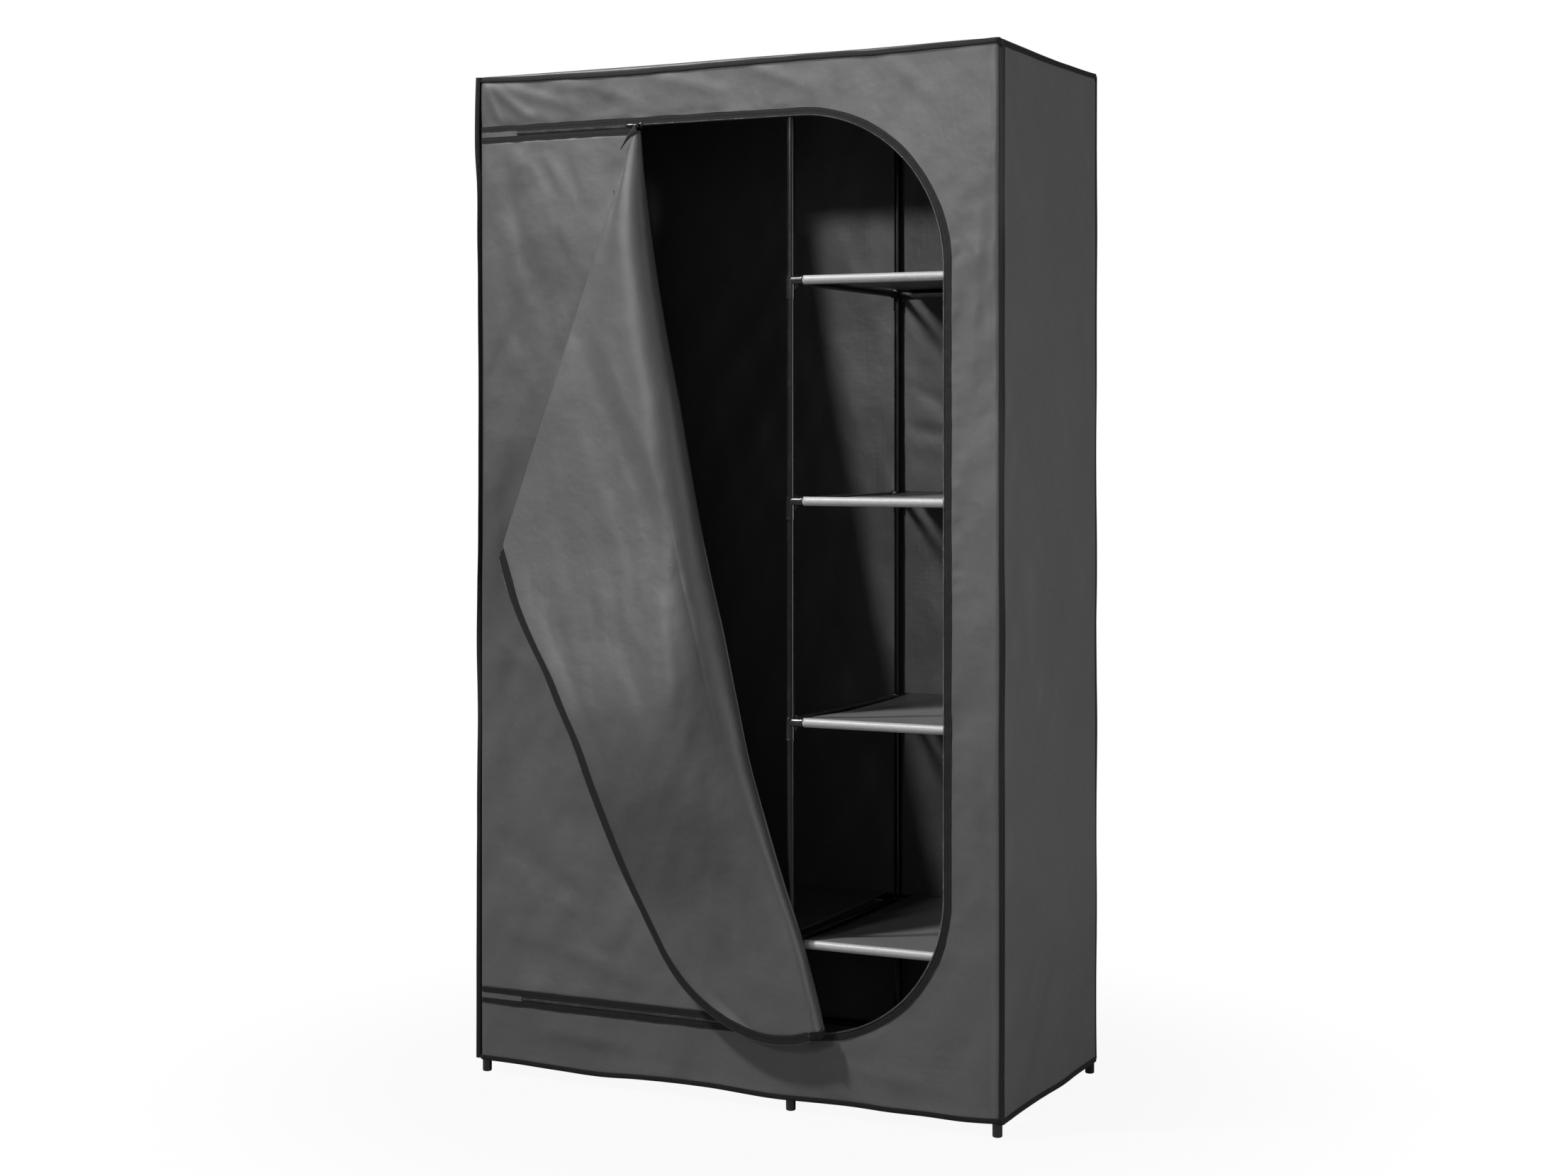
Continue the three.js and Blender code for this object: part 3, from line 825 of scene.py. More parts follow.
@dataclass
class CoverShape:
    """Where the cover's faces and edges run, with the slack of the cloth in them."""

    half_width: float = 436 * MM
    top: float = 1560 * MM
    hem: float = 19.5 * MM
    front: float = field(default_factory=lambda: node_box("cover_front")[0].y)
    back: float = field(default_factory=lambda: node_box("cover_back")[1].y)
    corner_radius: float = 8.5 * MM
    # How far each upright edge stands out at a height in millimetres
    left_slack: Profile = (
        (0, 2.5), (300, 2.5), (450, 2.2), (550, 0.4), (650, 1.2), (750, 0), (850, -0.5), (1000, -0.6),
        (1150, -0.6), (1300, 0), (1390, 0.8), (1445, 4.6), (1500, 4.8), (1560, 3.0),
    )
    # How far the roof's cloth hangs over the front edge, by place across in millimetres
    front_drop: Profile = (
        (-436, 0.8), (-400, 2.5), (-330, 4.4), (-250, 5.6), (-170, 6.4), (-80, 5.4), (0, 5.8), (90, 4.6),
        (180, 3.4), (240, 4.6), (320, 3.2), (400, 2.4), (436, 0.8),
    )
    # How far that edge stands over the roof, and the front hem over its height, the same way
    front_rise: Profile = (
        (-436, -2), (-300, -1.8), (-100, -1.6), (60, 0), (200, -0.4), (300, 0.8), (380, 2), (436, 2),
    )
    front_hem: Profile = (
        (-436, 0), (-380, 0), (-310, -1.2), (-220, -3.2), (-160, -0.8), (-100, 1.6), (-10, 1.2), (50, -1.6),
        (140, -1.4), (200, 0.4), (260, -0.8), (320, 0), (380, -0.8), (436, 2),
    )

    def roundness(self, from_edge: Array) -> Array:
        """How far the cloth lies inside a sharp corner, by the distance from that corner."""
        radius = self.corner_radius
        reach = np.clip(radius - from_edge, 0, radius)
        return radius - np.sqrt(radius**2 - reach**2)

    def inset(self) -> float:
        """Distance of a rounded corner's middle from each sharp face."""
        return self.corner_radius * (1 - math.sqrt(0.5))

    def corner(self, right: int, rear: int, height: Array) -> Array:
        """Upright edge of the cover.

        Args:
            right: 1 for the right edges and -1 for the left ones.
            rear: 1 for the back edges and -1 for the front ones.
            height: Heights of the wanted points.

        Returns:
            A point for each height.
        """
        slack = np.sin(np.clip((height - self.hem) / (self.top - self.hem), 0, 1) * math.pi) ** 0.5
        if right < 0:
            out = follow(self.left_slack, height / MM) * MM + 0.3 * MM * slack * ripple(height, 0.07, 4)
        else:
            out = 0.7 * MM * slack * ripple(height, 0.13, 7 + rear)
        aside = 0.6 * MM * slack * ripple(height, 0.19, 12 + right + rear)
        x = right * (self.half_width - self.inset() + out)
        y = (self.back if rear > 0 else self.front) - rear * (self.inset() - np.abs(aside))
        return spots(x, y, height)

    def along_front(self, rear: int, x: Array, at_top: bool) -> Array:
        """Edge along the front or back, at the top or at the hem.

        Args:
            rear: 1 for the back and -1 for the front.
            x: Places across the cover.
            at_top: True for the top edge.

        Returns:
            A point for each place.
        """
        free = 1 - np.clip(np.abs(x) / self.half_width, 0, 1) ** 4
        round_off = self.roundness(self.half_width - np.abs(x))
        y = (self.back if rear > 0 else self.front) - rear * round_off
        place = x / MM * (1 if rear < 0 else -1)
        if at_top:
            z = self.top + (follow(self.front_rise, place) - follow(self.front_drop, place)) * MM
            z = z + 0.5 * MM * free * ripple(x, 0.05, 6 + rear)
        else:
            z = self.hem + follow(self.front_hem, place) * MM + 0.4 * MM * free * ripple(x, 0.06, 8 + rear)
            z = z - 10 * MM * (rear > 0) * free
            y = y + rear * 1.3 * MM * free * (0.5 + 0.5 * ripple(x, 0.17, 12 + rear))
        return spots(x, y, z)

    def along_side(self, right: int, y: Array, at_top: bool) -> Array:
        """Edge along the left or right side, at the top or at the hem.

        Args:
            right: 1 for the right side and -1 for the left side.
            y: Places from front to back.
            at_top: True for the top edge.

        Returns:
            A point for each place.
        """
        share = np.clip((2 * y - self.front - self.back) / (self.back - self.front), -1, 1)
        free = 1 - share**4
        x = right * (self.half_width - self.roundness(np.minimum(y - self.front, self.back - y)))
        if at_top:
            slack = 1.6 * share - 0.4 - 2.6 * free + 0.6 * free * ripple(y, 0.08, 15 + right)
            return spots(x, y, self.top + slack * MM)
        x = x + right * 1.2 * MM * free * (0.5 + 0.5 * ripple(y, 0.1, 22 + right))
        return spots(x, y, self.hem - (0.6 + 1.4 * free * ripple(y, 0.12, 18 + right)) * MM)

    @staticmethod
    def patch(left: Array, right: Array, low: Array, high: Array, up: Array, across: Array) -> Array:
        """Fill four edge curves with a surface.

        Args:
            left: Points up the first upright edge.
            right: Points up the other upright edge.
            low: Points along the lower edge.
            high: Points along the upper edge.
            up: Shares of the rows, from 0 to 1.
            across: Shares of the columns, from 0 to 1.

        Returns:
            A grid of points, rows from low to high and columns from left to right.
        """
        v, u = up[:, None, None], across[None, :, None]
        ruled = (1 - u) * left[:, None] + u * right[:, None] + (1 - v) * low[None] + v * high[None]
        lower, upper = (1 - u) * left[0] + u * right[0], (1 - u) * left[-1] + u * right[-1]
        return ruled - (1 - v) * lower - v * upper


@dataclass(frozen=True)
class Crease:
    """A soft ridge or valley between two points of a panel's face."""

    start: tuple[float, float]
    end: tuple[float, float]
    width: float
    height: float

    def lift(self, across: Array, up: Array) -> Array:
        """How far it lifts points of the panel.

        Args:
            across: Places across the panel.
            up: Places up the panel.

        Returns:
            Height of each point, in millimetres.
        """
        way = np.subtract(self.end, self.start)
        x, z = across - self.start[0], up - self.start[1]
        share = np.clip((x * way[0] + z * way[1]) / (way @ way), 0, 1)
        off = np.abs(x * way[1] - z * way[0]) / np.linalg.norm(way)
        fade = np.clip(np.sin(share * math.pi), 0, 1) ** 0.6
        return self.height * fade * np.exp(-((off / self.width) ** 2))


def creases(*rows: tuple[float, ...]) -> tuple[Crease, ...]:
    """Creases from rows of their start, end, width and height."""
    return tuple(Crease(row[:2], row[2:4], *row[4:]) for row in rows)


@dataclass(frozen=True)
class Slack:
    """Loose cloth of one panel: long swells, small ones and single creases."""

    seed: float
    long: float
    short: float
    creases: tuple[Crease, ...] = ()
    inward: float = 1.0

    def lift(self, across: Array, up: Array, hold: Array) -> Array:
        """How far the cloth stands out.

        Args:
            across: Places across the panel.
            up: Places up the panel.
            hold: Share of the slack that each point may have, from 0 at a seam to 1.

        Returns:
            Distance outwards of each point, in metres.
        """
        lift = self.long * swell(across, up, (0.26, 0.55), self.seed)
        lift += self.short * swell(across + 0.4 * up, up - 0.4 * across, (0.055, 0.16), self.seed + 2)
        lift += 0.5 * self.short * swell(across - 0.5 * up, up, (0.035, 0.09), self.seed + 4)
        lift += sum(crease.lift(across, up) for crease in self.creases)
        return np.where(lift < 0, lift * self.inward, lift) * MM * hold


def soft_folds(across: Array, up: Array, seed: float, height: float = 1.0) -> Array:
    """Soft folds of a hanging cloth, as a height that only the shading shows.

    Args:
        across: Places across the panel.
        up: Places up the panel.
        seed: Which part of the noise is used.
        height: How strong the folds are.

    Returns:
        Height of each point, in metres.
    """
    lean = swell(across + 0.35 * up, up - 0.5 * across, (0.15, 0.34), seed)
    cross = swell(across - 0.5 * up, up + 0.3 * across, (0.07, 0.17), seed + 1)
    small = swell(across, up, (0.030, 0.055), seed + 2)
    broad = swell(across, up, (0.50, 0.42), seed + 3)
    return height * MM * (2.9 * lean + 1.6 * cross + 0.48 * small + 5.0 * broad)


@dataclass
class ZipLine:
    """The line of the zip's chain round the door: along the top, down the right and back below."""

    top: float = 1467 * MM
    bottom: float = 121 * MM
    right: float = 348 * MM
    top_radius: float = 228 * MM
    bottom_radius: float = 212 * MM

    def points(self, offset: float, start: float, end: float, step: float = 8 * MM) -> Array:
        """The line moved outwards by an offset.

        Args:
            offset: Distance outwards from the door, negative towards it.
            start: Where it starts along the top, left to right.
            end: Where it ends along the bottom.
            step: Distance between points.

        Returns:
            Points as pairs of x and z.
        """
        angle = np.linspace(math.pi / 2, 0, 60)
        turn = np.stack([np.cos(angle), np.sin(angle)], axis=1)
        upper = np.array([self.right - self.top_radius, self.top - self.top_radius])
        lower = np.array([self.right - self.bottom_radius, self.bottom + self.bottom_radius])
        above = upper + (self.top_radius + offset) * turn
        below = lower + (self.bottom_radius + offset) * turn[::-1] * (1, -1)
        line = np.concatenate([[[start, self.top + offset]], above, below, [[end, self.bottom - offset]]])
        return by_length(line, step)

    def outward(self, line: Array) -> Array:
        """Direction away from the door at each point of a line."""
        way = tangents(line)
        return np.stack([-way[:, 1], way[:, 0]], axis=1)


@dataclass
class Cover:
    """The sewn cover without its door: front, sides, back and top."""

    shape: CoverShape
    zip_line: ZipLine
    finishes: Finishes
    thickness: float = 0.9 * MM

    def rows(self) -> Array:
        """Shares of the panels' rows, from the hem to the top."""
        return spread(self.shape.top - self.shape.hem, 8 * MM)

    def hold(self, up: Array, across: Array, width: float, edge: float = 45 * MM) -> Array:
        """Share of a panel's slack at each point, nought along its seams."""
        height = self.shape.top - self.shape.hem
        rise = np.minimum(up, 1 - up)[:, None] * height
        side = np.minimum(across, 1 - across)[None, :] * width
        return smooth(np.minimum(rise, side), 1 * MM, edge)

    def filled(self, edges: tuple[Array, Array, Array, Array], up: Array, across: Array) -> Array:
        """Points of a panel.

        Args:
            edges: Points of its first and its other upright edge, of its lower and of its upper edge.
            up: Shares of the rows, from 0 to 1.
            across: Shares of the columns, from 0 to 1.

        Returns:
            A grid whose edges meet at their ends.
        """
        near, far, low, high = edges
        near[0], far[0], near[-1], far[-1] = low[0], low[-1], high[0], high[-1]
        return self.shape.patch(near, far, low, high, up, across)

    def sew(
        self, names: tuple[str, str], grid: Array, toward: Sequence[float],
        plane: tuple[int, int], folds: tuple[float, float],
    ) -> bpy.types.Object:
        """Make one panel of cloth.

        Args:
            names: The piece's name and the node that it stands for.
            grid: Its points.
            toward: Rough direction that its outer face looks in.
            plane: The two coordinates that run across it and up it.
            folds: Seed and strength of the soft folds that only the shading shows.

        Returns:
            The piece.
        """
        relief = soft_folds(grid[..., plane[0]], grid[..., plane[1]], *folds)
        piece = Geometry().shell(grid, self.thickness, toward, grid[..., plane], relief).build(names[0], None)
        return dress(piece, self.finishes.cloth, nodes=[names[1]])

    def side(self, right: int) -> None:
        """Make the left or right side panel.

        Args:
            right: 1 for the right side and -1 for the left side.
        """
        shape, up = self.shape, self.rows()
        low_y, high_y = shape.front + shape.inset(), shape.back - shape.inset()
        across = spread(high_y - low_y, 8 * MM)
        z = shape.hem + (shape.top - shape.hem) * up
        y = low_y + (high_y - low_y) * across
        near, far = (shape.corner(right, rear, z) for rear in (-1, 1))
        low, high = (shape.along_side(right, y, at_top) for at_top in (False, True))
        grid = self.filled((near, far, low, high), up, across)
        slack = Slack(31 + right, 3.2, 0.9, creases(
            (-0.19, 1.50, -0.02, 1.24, 0.022, 2.6), (-0.16, 1.52, 0.10, 1.40, 0.016, 1.8),
            (-0.19, 1.10, 0.02, 0.80, 0.035, 3.0), (-0.18, 0.72, 0.08, 0.55, 0.026, 2.2),
            (0.17, 0.70, 0.03, 0.44, 0.03, -2.2), (-0.18, 0.40, 0.10, 0.20, 0.03, 2.4),
            (0.20, 1.46, 0.185, 0.90, 0.014, 2.4), (0.195, 0.85, 0.19, 0.20, 0.014, 1.8),
            (-0.182, 1.50, -0.180, 0.10, 0.009, 1.6), (0.00, 1.54, 0.06, 1.42, 0.02, -1.6),
        ), 0.2)
        grid[..., 0] += right * slack.lift(grid[..., 1], grid[..., 2], self.hold(up, across, high_y - low_y))
        which = "right" if right > 0 else "left"
        names = (f"side_cloth_{which}", f"cover_{which}")
        piece = self.sew(names, grid, (right, 0, 0), (1, 2), (131 + right, 0.95))

    def rear(self) -> None:
        """Make the back panel."""
        shape, up = self.shape, self.rows()
        reach = shape.half_width - shape.inset()
        across = spread(2 * reach, 9 * MM)
        z = shape.hem + (shape.top - shape.hem) * up
        x = reach * (2 * across - 1)
        near, far = (shape.corner(right, 1, z) for right in (-1, 1))
        low, high = (shape.along_front(1, x, at_top) for at_top in (False, True))
        grid = self.filled((near, far, low, high), up, across)
        slack = Slack(41, 3.4, 1.3, creases(
            (0.20, 1.36, 0.38, 1.18, 0.02, 2.5), (0.09, 1.10, 0.24, 1.00, 0.014, 2.6),
            (0.08, 1.02, 0.26, 0.98, 0.012, 2.2), (0.12, 1.14, 0.20, 0.94, 0.016, -1.5),
            (-0.30, 1.30, -0.05, 0.90, 0.05, 3.0), (-0.32, 0.60, 0.00, 0.25, 0.05, 3.0),
        ), 0.2)
        grid[..., 1] += slack.lift(grid[..., 0], grid[..., 2], self.hold(up, across, 2 * reach))
        piece = self.sew(("back_cloth", "cover_back"), grid, (0, 1, 0), (0, 2), (141, 1.0))

    def roof(self) -> None:
        """Make the top panel, which hangs over the rails a little before its seams."""
        shape = self.shape
        inset = shape.inset()
        low_y, high_y = shape.front + inset, shape.back - inset
        reach = shape.half_width - inset
        up, across = spread(high_y - low_y, 9 * MM), spread(2 * reach, 9 * MM)
        y = low_y + (high_y - low_y) * up
        x = reach * (2 * across - 1)
        low, high = (shape.along_front(rear, x, True) for rear in (-1, 1))
        near, far = (shape.along_side(right, y, True) for right in (-1, 1))
        grid = self.filled((near, far, low, high), up, across)
        x, y = grid[..., 0], grid[..., 1]
        front_off = np.abs(y - shape.front)
        nearest = np.minimum(np.minimum(front_off, np.abs(shape.back - y)), shape.half_width - np.abs(x))
        rise = follow(shape.front_rise, x / MM) * MM
        top = shape.top + rise * (1 - smooth(front_off, 0, np.where(rise < 0, 0.016, 0.3)))
        curl = np.sqrt(np.clip(1 - (1 - np.clip(nearest / (7 * MM), 0, 1)) ** 2, 0, 1))
        grid[..., 2] = grid[..., 2] * (1 - curl) + top * curl
        middle_share = 1 - np.clip(np.abs(x) / shape.half_width, 0, 1) ** 2
        deep = np.clip(1 - ((2 * y - shape.front - shape.back) / (shape.back - shape.front)) ** 2, 0, 1)
        hold = smooth(nearest, 0.01, 0.08)
        slack = Slack(51, 1.2, 0.7, creases((-0.40, -0.15, 0.10, 0.05, 0.05, -1.2)))
        grid[..., 2] += slack.lift(x, y, hold) - 1.5 * MM * hold - 6 * MM * middle_share * deep
        for column in ("left", "middle", "right"):
            off = np.abs(x - node_middle(f"bar_top_{column}")[0])
            bar_top = node_box(f"bar_top_{column}")[1].z
            carried = bar_top + self.thickness + 2.1 * MM - 0.035 * np.clip(off - 4 * MM, 0, None)
            grid[..., 2] += smooth(nearest, 8 * MM, 20 * MM) * np.clip(carried - grid[..., 2], 0, None)
        piece = self.sew(("top_cloth", "cover_top"), grid, (0, 0, 1), (0, 1), (151, 1.0))

    def edge_place(self, x: float, z: float, width: float) -> Array:
        """Find the point of the cover's edge across from a point of the zip's line.

        Args:
            x: Place of that point across the front.
            z: Its height.
            width: How far the flat of the front reaches to the right.

        Returns:
            The point of the edge, seen from the middle of the line's nearest round corner.
        """
        shape, line = self.shape, self.zip_line
        upper = z > line.top - line.top_radius
        if upper:
            cx, cz, limit = line.right - line.top_radius, line.top - line.top_radius, shape.top
        else:
            cx, cz, limit = line.right - line.bottom_radius, line.bottom + line.bottom_radius, shape.hem
            if z >= cz:
                return shape.corner(1, -1, np.array([z]))[0]
        at_x, at_z = x, limit
        if x > cx:
            at_x = cx + (x - cx) * (limit - cz) / (z - cz) if abs(z - cz) > 1e-6 else math.inf
            if at_x > width:
                at_x, at_z = width, cz + (z - cz) * (width - cx) / (x - cx)
        if at_x < width:
            return shape.along_front(-1, np.array([at_x]), upper)[0]
        return shape.corner(1, -1, np.array([at_z]))[0]

    def front_grid(self, inner_offset: float) -> Array:
        """Points of the front cloth, from under the tape out to the cover's edges."""
        shape = self.shape
        width = shape.half_width - shape.inset()
        inner = self.zip_line.points(inner_offset, -width, -width, 5 * MM)
        outer = np.array([self.edge_place(x, z, width) for x, z in inner])
        start = spots(inner[:, 0], shape.front, inner[:, 1])
        near, far = [0, 0.03, 0.06, 0.09, 0.13], [0.88, 0.91, 0.94, 0.96, 0.98, 1]
        shares = np.concatenate([near, np.linspace(0.18, 0.84, 12), far])
        grid = start[:, None] * (1 - shares)[None, :, None] + outer[:, None] * shares[None, :, None]
        edge = shape.half_width - np.abs(grid[..., 0])
        flat_y = shape.front + (grid[..., 1] - shape.front) * smooth(shares, 0.8, 1)[None] * (edge > 12 * MM)
        grid[..., 1] = flat_y + shape.roundness(edge) * (edge <= 12 * MM)
        return grid

    def front(self) -> bpy.types.Object:
        """Make the front cloth round the door opening, with gathers beside the tape."""
        offset, sewn_to = 6 * MM, 12.8 * MM
        grid = self.front_grid(offset)
        from_tape = np.linalg.norm(grid - grid[:, :1], axis=-1) + offset - sewn_to
        to_edge = np.linalg.norm(grid - grid[:, -1:], axis=-1)
        slack = Slack(61, 1.1, 1.0, creases(
            (-0.43, 1.553, -0.33, 1.480, 0.008, 2.4), (-0.428, 1.550, -0.395, 1.478, 0.006, 2.2),
            (-0.41, 1.545, -0.26, 1.500, 0.010, 1.8), (-0.30, 1.550, -0.14, 1.500, 0.012, 1.6),
            (-0.14, 1.545, 0.02, 1.505, 0.012, 1.4), (0.03, 1.548, 0.16, 1.502, 0.010, 1.4),
            (0.26, 1.545, 0.36, 1.46, 0.012, 2.0), (0.33, 1.53, 0.41, 1.43, 0.012, 1.8),
            (0.424, 1.55, 0.4245, 0.05, 0.0035, 1.6), (0.405, 1.36, 0.385, 0.90, 0.010, 2.0),
            (0.385, 1.05, 0.41, 0.60, 0.010, -1.4), (0.38, 0.66, 0.41, 0.30, 0.012, 1.8),
            (0.36, 0.34, 0.41, 0.10, 0.014, 1.8), (0.18, 0.075, 0.40, 0.055, 0.014, 1.8),
            (-0.42, 0.085, -0.12, 0.065, 0.012, 1.6), (-0.42, 0.050, 0.00, 0.048, 0.010, -1.4),
            (0.02, 0.06, 0.20, 0.09, 0.014, -1.5),
        ), 0.35)
        hold = smooth(from_tape, 0, 14 * MM) * smooth(to_edge, 1 * MM, 20 * MM)
        lift = slack.lift(grid[..., 0], grid[..., 2], hold)
        along = walked(grid[:, 0])[:, None]
        pull = smooth(from_tape, -1 * MM, 5 * MM) * np.exp(-((np.clip(from_tape, 0, None) / (12 * MM)) ** 2))
        gathers = np.clip(ripple(along + 0.25 * from_tape, 0.013, 66) + 0.3, -0.5, 1)
        grid[..., 1] -= lift + 0.9 * MM * gathers * pull * (0.6 + 0.4 * ripple(along, 0.12, 67))
        return self.sew(("front_cloth", "cover_front"), grid, (0, -1, 0), (0, 2), (161, 0.8))

    def make(self) -> bpy.types.Object:
        """Make the whole cover and give its front cloth."""
        self.side(1)
        self.side(-1)
        self.rear()
        self.roof()
        return self.front()


@dataclass
class Bindings:
    """Black tape folded over the cover's sewn edges, with its rows of thread."""

    shape: CoverShape
    finishes: Finishes
    width: float = 8 * MM
    thickness: float = 1.7 * MM
    stitch_pitch: float = 3.1 * MM
    stitch: tuple[float, float, float] = (1.9 * MM, 0.35 * MM, 0.45 * MM)
    # Direction in degrees in which the left front binding stands, by height in millimetres
    left_turn: Profile = (
        (0, 10), (650, 12), (750, 38), (850, 62), (1000, 72), (1150, 66), (1250, 50), (1330, 40),
        (1420, 25), (1560, 12),
    )
    stitches: list[Array] = field(default_factory=list)

    def strip(self, geometry: Geometry, path: Array, out: Array, closed: bool = False) -> None:
        """Sweep the folded tape along an edge and note its rows of stitches.

        Args:
            geometry: Where it goes.
            path: Points of the edge.
            out: Direction in which the tape stands out, at each point.
            closed: Whether the path meets itself.
        """
        way = tangents(path)
        out = unit(out - np.sum(out * way, axis=1, keepdims=True) * way)
        face = np.cross(way, out)
        section = round_bar(self.width / 2, self.thickness / 2)
        middle = path + out * (self.width / 2 - 0.6 * MM)
        geometry.sweep(middle, out, face, section, closed)
        line = middle + out * 0.8 * MM
        for side in (-1, 1):
            self.stitches.append(line + side * face * (self.thickness / 2))

    def ring(self, geometry: Geometry, at_top: bool) -> None:
        """Bind the top edge or the hem all round.

        Args:
            geometry: Where the tape goes.
            at_top: True for the top edge.
        """
        shape = self.shape
        inset = shape.inset()
        reach, low_y, high_y = shape.half_width - inset, shape.front + inset, shape.back - inset
        x = reach * (2 * spread(2 * reach, 6 * MM, 9 * MM, 3 * MM) - 1)
        y = low_y + (high_y - low_y) * spread(high_y - low_y, 6 * MM, 9 * MM, 3 * MM)
        runs = (
            shape.along_front(-1, x, at_top), shape.along_side(1, y, at_top),
            shape.along_front(1, x[::-1], at_top), shape.along_side(-1, y[::-1], at_top),
        )
        loop = np.concatenate([run[:-1] for run in runs])
        way = np.roll(loop, -1, axis=0) - np.roll(loop, 1, axis=0)
        flat = unit(spots(way[:, 1], -way[:, 0], 0))
        down = np.array([0, 0, -1.0])
        out = unit(0.10 * flat + down) if at_top else unit(0.04 * flat - down)
        self.strip(geometry, loop + flat * (0.95 * MM), out, True)

    def make(self) -> list[bpy.types.Object]:
        """Make the bindings of the top, the hem and the corners, and their stitches."""
        shape = self.shape
        geometry = Geometry()
        self.ring(geometry, True)
        self.ring(geometry, False)
        z = np.linspace(shape.hem + 1 * MM, shape.top - 2 * MM, 210)
        for right, rear, turn in (
            (-1, -1, follow(self.left_turn, z / MM)),
            (1, -1, -6 + 10 * ripple(z, 0.16, 71)),
            (1, 1, 84 + 8 * ripple(z, 0.2, 72)),
            (-1, 1, 40 + 12 * ripple(z, 0.2, 73)),
        ):
            angle = np.radians(turn)
            out = spots(right * np.cos(angle), rear * np.sin(angle), 0)
            self.strip(geometry, shape.corner(right, rear, z), out)
        piece = geometry.build("edge_binding", 50)
        dress(piece, self.finishes.tape, nodes=["seam_binding"])
        beads = Beads("binding_stitch", self.stitch_pitch, self.stitch, self.finishes.thread, 4, 3)
        thread = beads.along("binding_stitches", self.stitches)
        return [piece, dress(thread, self.finishes.thread)]


@dataclass
class FoldLine:
    """The line on which the door folds, and the soft roll that lies along it."""

    axis_top: Array
    axis_bottom: Array
    top_standoff: float = 8 * MM
    bottom_standoff: float = 32 * MM
    # How far the roll's right edge lies from the straight fold line, by height in millimetres
    bow: Profile = (
        (110, -4), (140, -4), (180, -5), (214, -7), (267, -11), (334, -20), (416, -29), (514, -37),
        (602, -37), (701, -36), (795, -38), (853, -38), (920, -36), (989, -33), (1056, -30), (1125, -29),
        (1228, -25), (1330, -17), (1396, -10), (1467, 0),
    )
    # Width of the roll's front and how far it swells forward, by height in millimetres
    breadth: Profile = (
        (110, 15), (300, 18), (450, 24), (600, 34), (750, 38), (900, 36), (1200, 34), (1350, 26),
        (1420, 15), (1467, 6),
    )
    swelling: Profile = (
        (110, 0), (480, 0), (600, 1), (700, 2), (850, 5), (1000, 9), (1200, 13), (1350, 12),
        (1420, 6), (1467, 1),
    )

    def share(self, height: Array) -> Array:
        """Share of the way down the fold at a height."""
        return np.clip((self.axis_top[2] - height) / (self.axis_top[2] - self.axis_bottom[2]), 0, 1)

    def axis_x(self, height: Array) -> Array:
        """Where the straight fold line is at a height."""
        return self.axis_top[0] + (self.axis_bottom[0] - self.axis_top[0]) * self.share(height)

    def standoff(self, height: Array) -> Array:
        """How far the folded flap stands in front of the door at a height of the fold."""
        return self.top_standoff + (self.bottom_standoff - self.top_standoff) * self.share(height)

    def edge_x(self, height: Array) -> Array:
        """Where the rounded fold reaches furthest right."""
        return self.axis_x(height) + follow(self.bow, height / MM) * MM + self.standoff(height) * 0.42

    def wide(self, height: Array) -> Array:
        """Width of the roll's front."""
        return follow(self.breadth, height / MM) * MM

    def swell(self, height: Array) -> Array:
        """How far the roll's front swells forward beyond the flap's own plane."""
        return follow(self.swelling, height / MM) * MM

    def back(self, points: Array) -> Array:
        """Turn points of the shut door half round on the fold line.

        Args:
            points: Points of the shut door.

        Returns:
            Where they are when the door is folded back.
        """
        way = unit(self.axis_bottom - self.axis_top)
        from_axis = points - self.axis_top
        along = from_axis @ way
        return self.axis_top + 2 * along[..., None] * way - from_axis


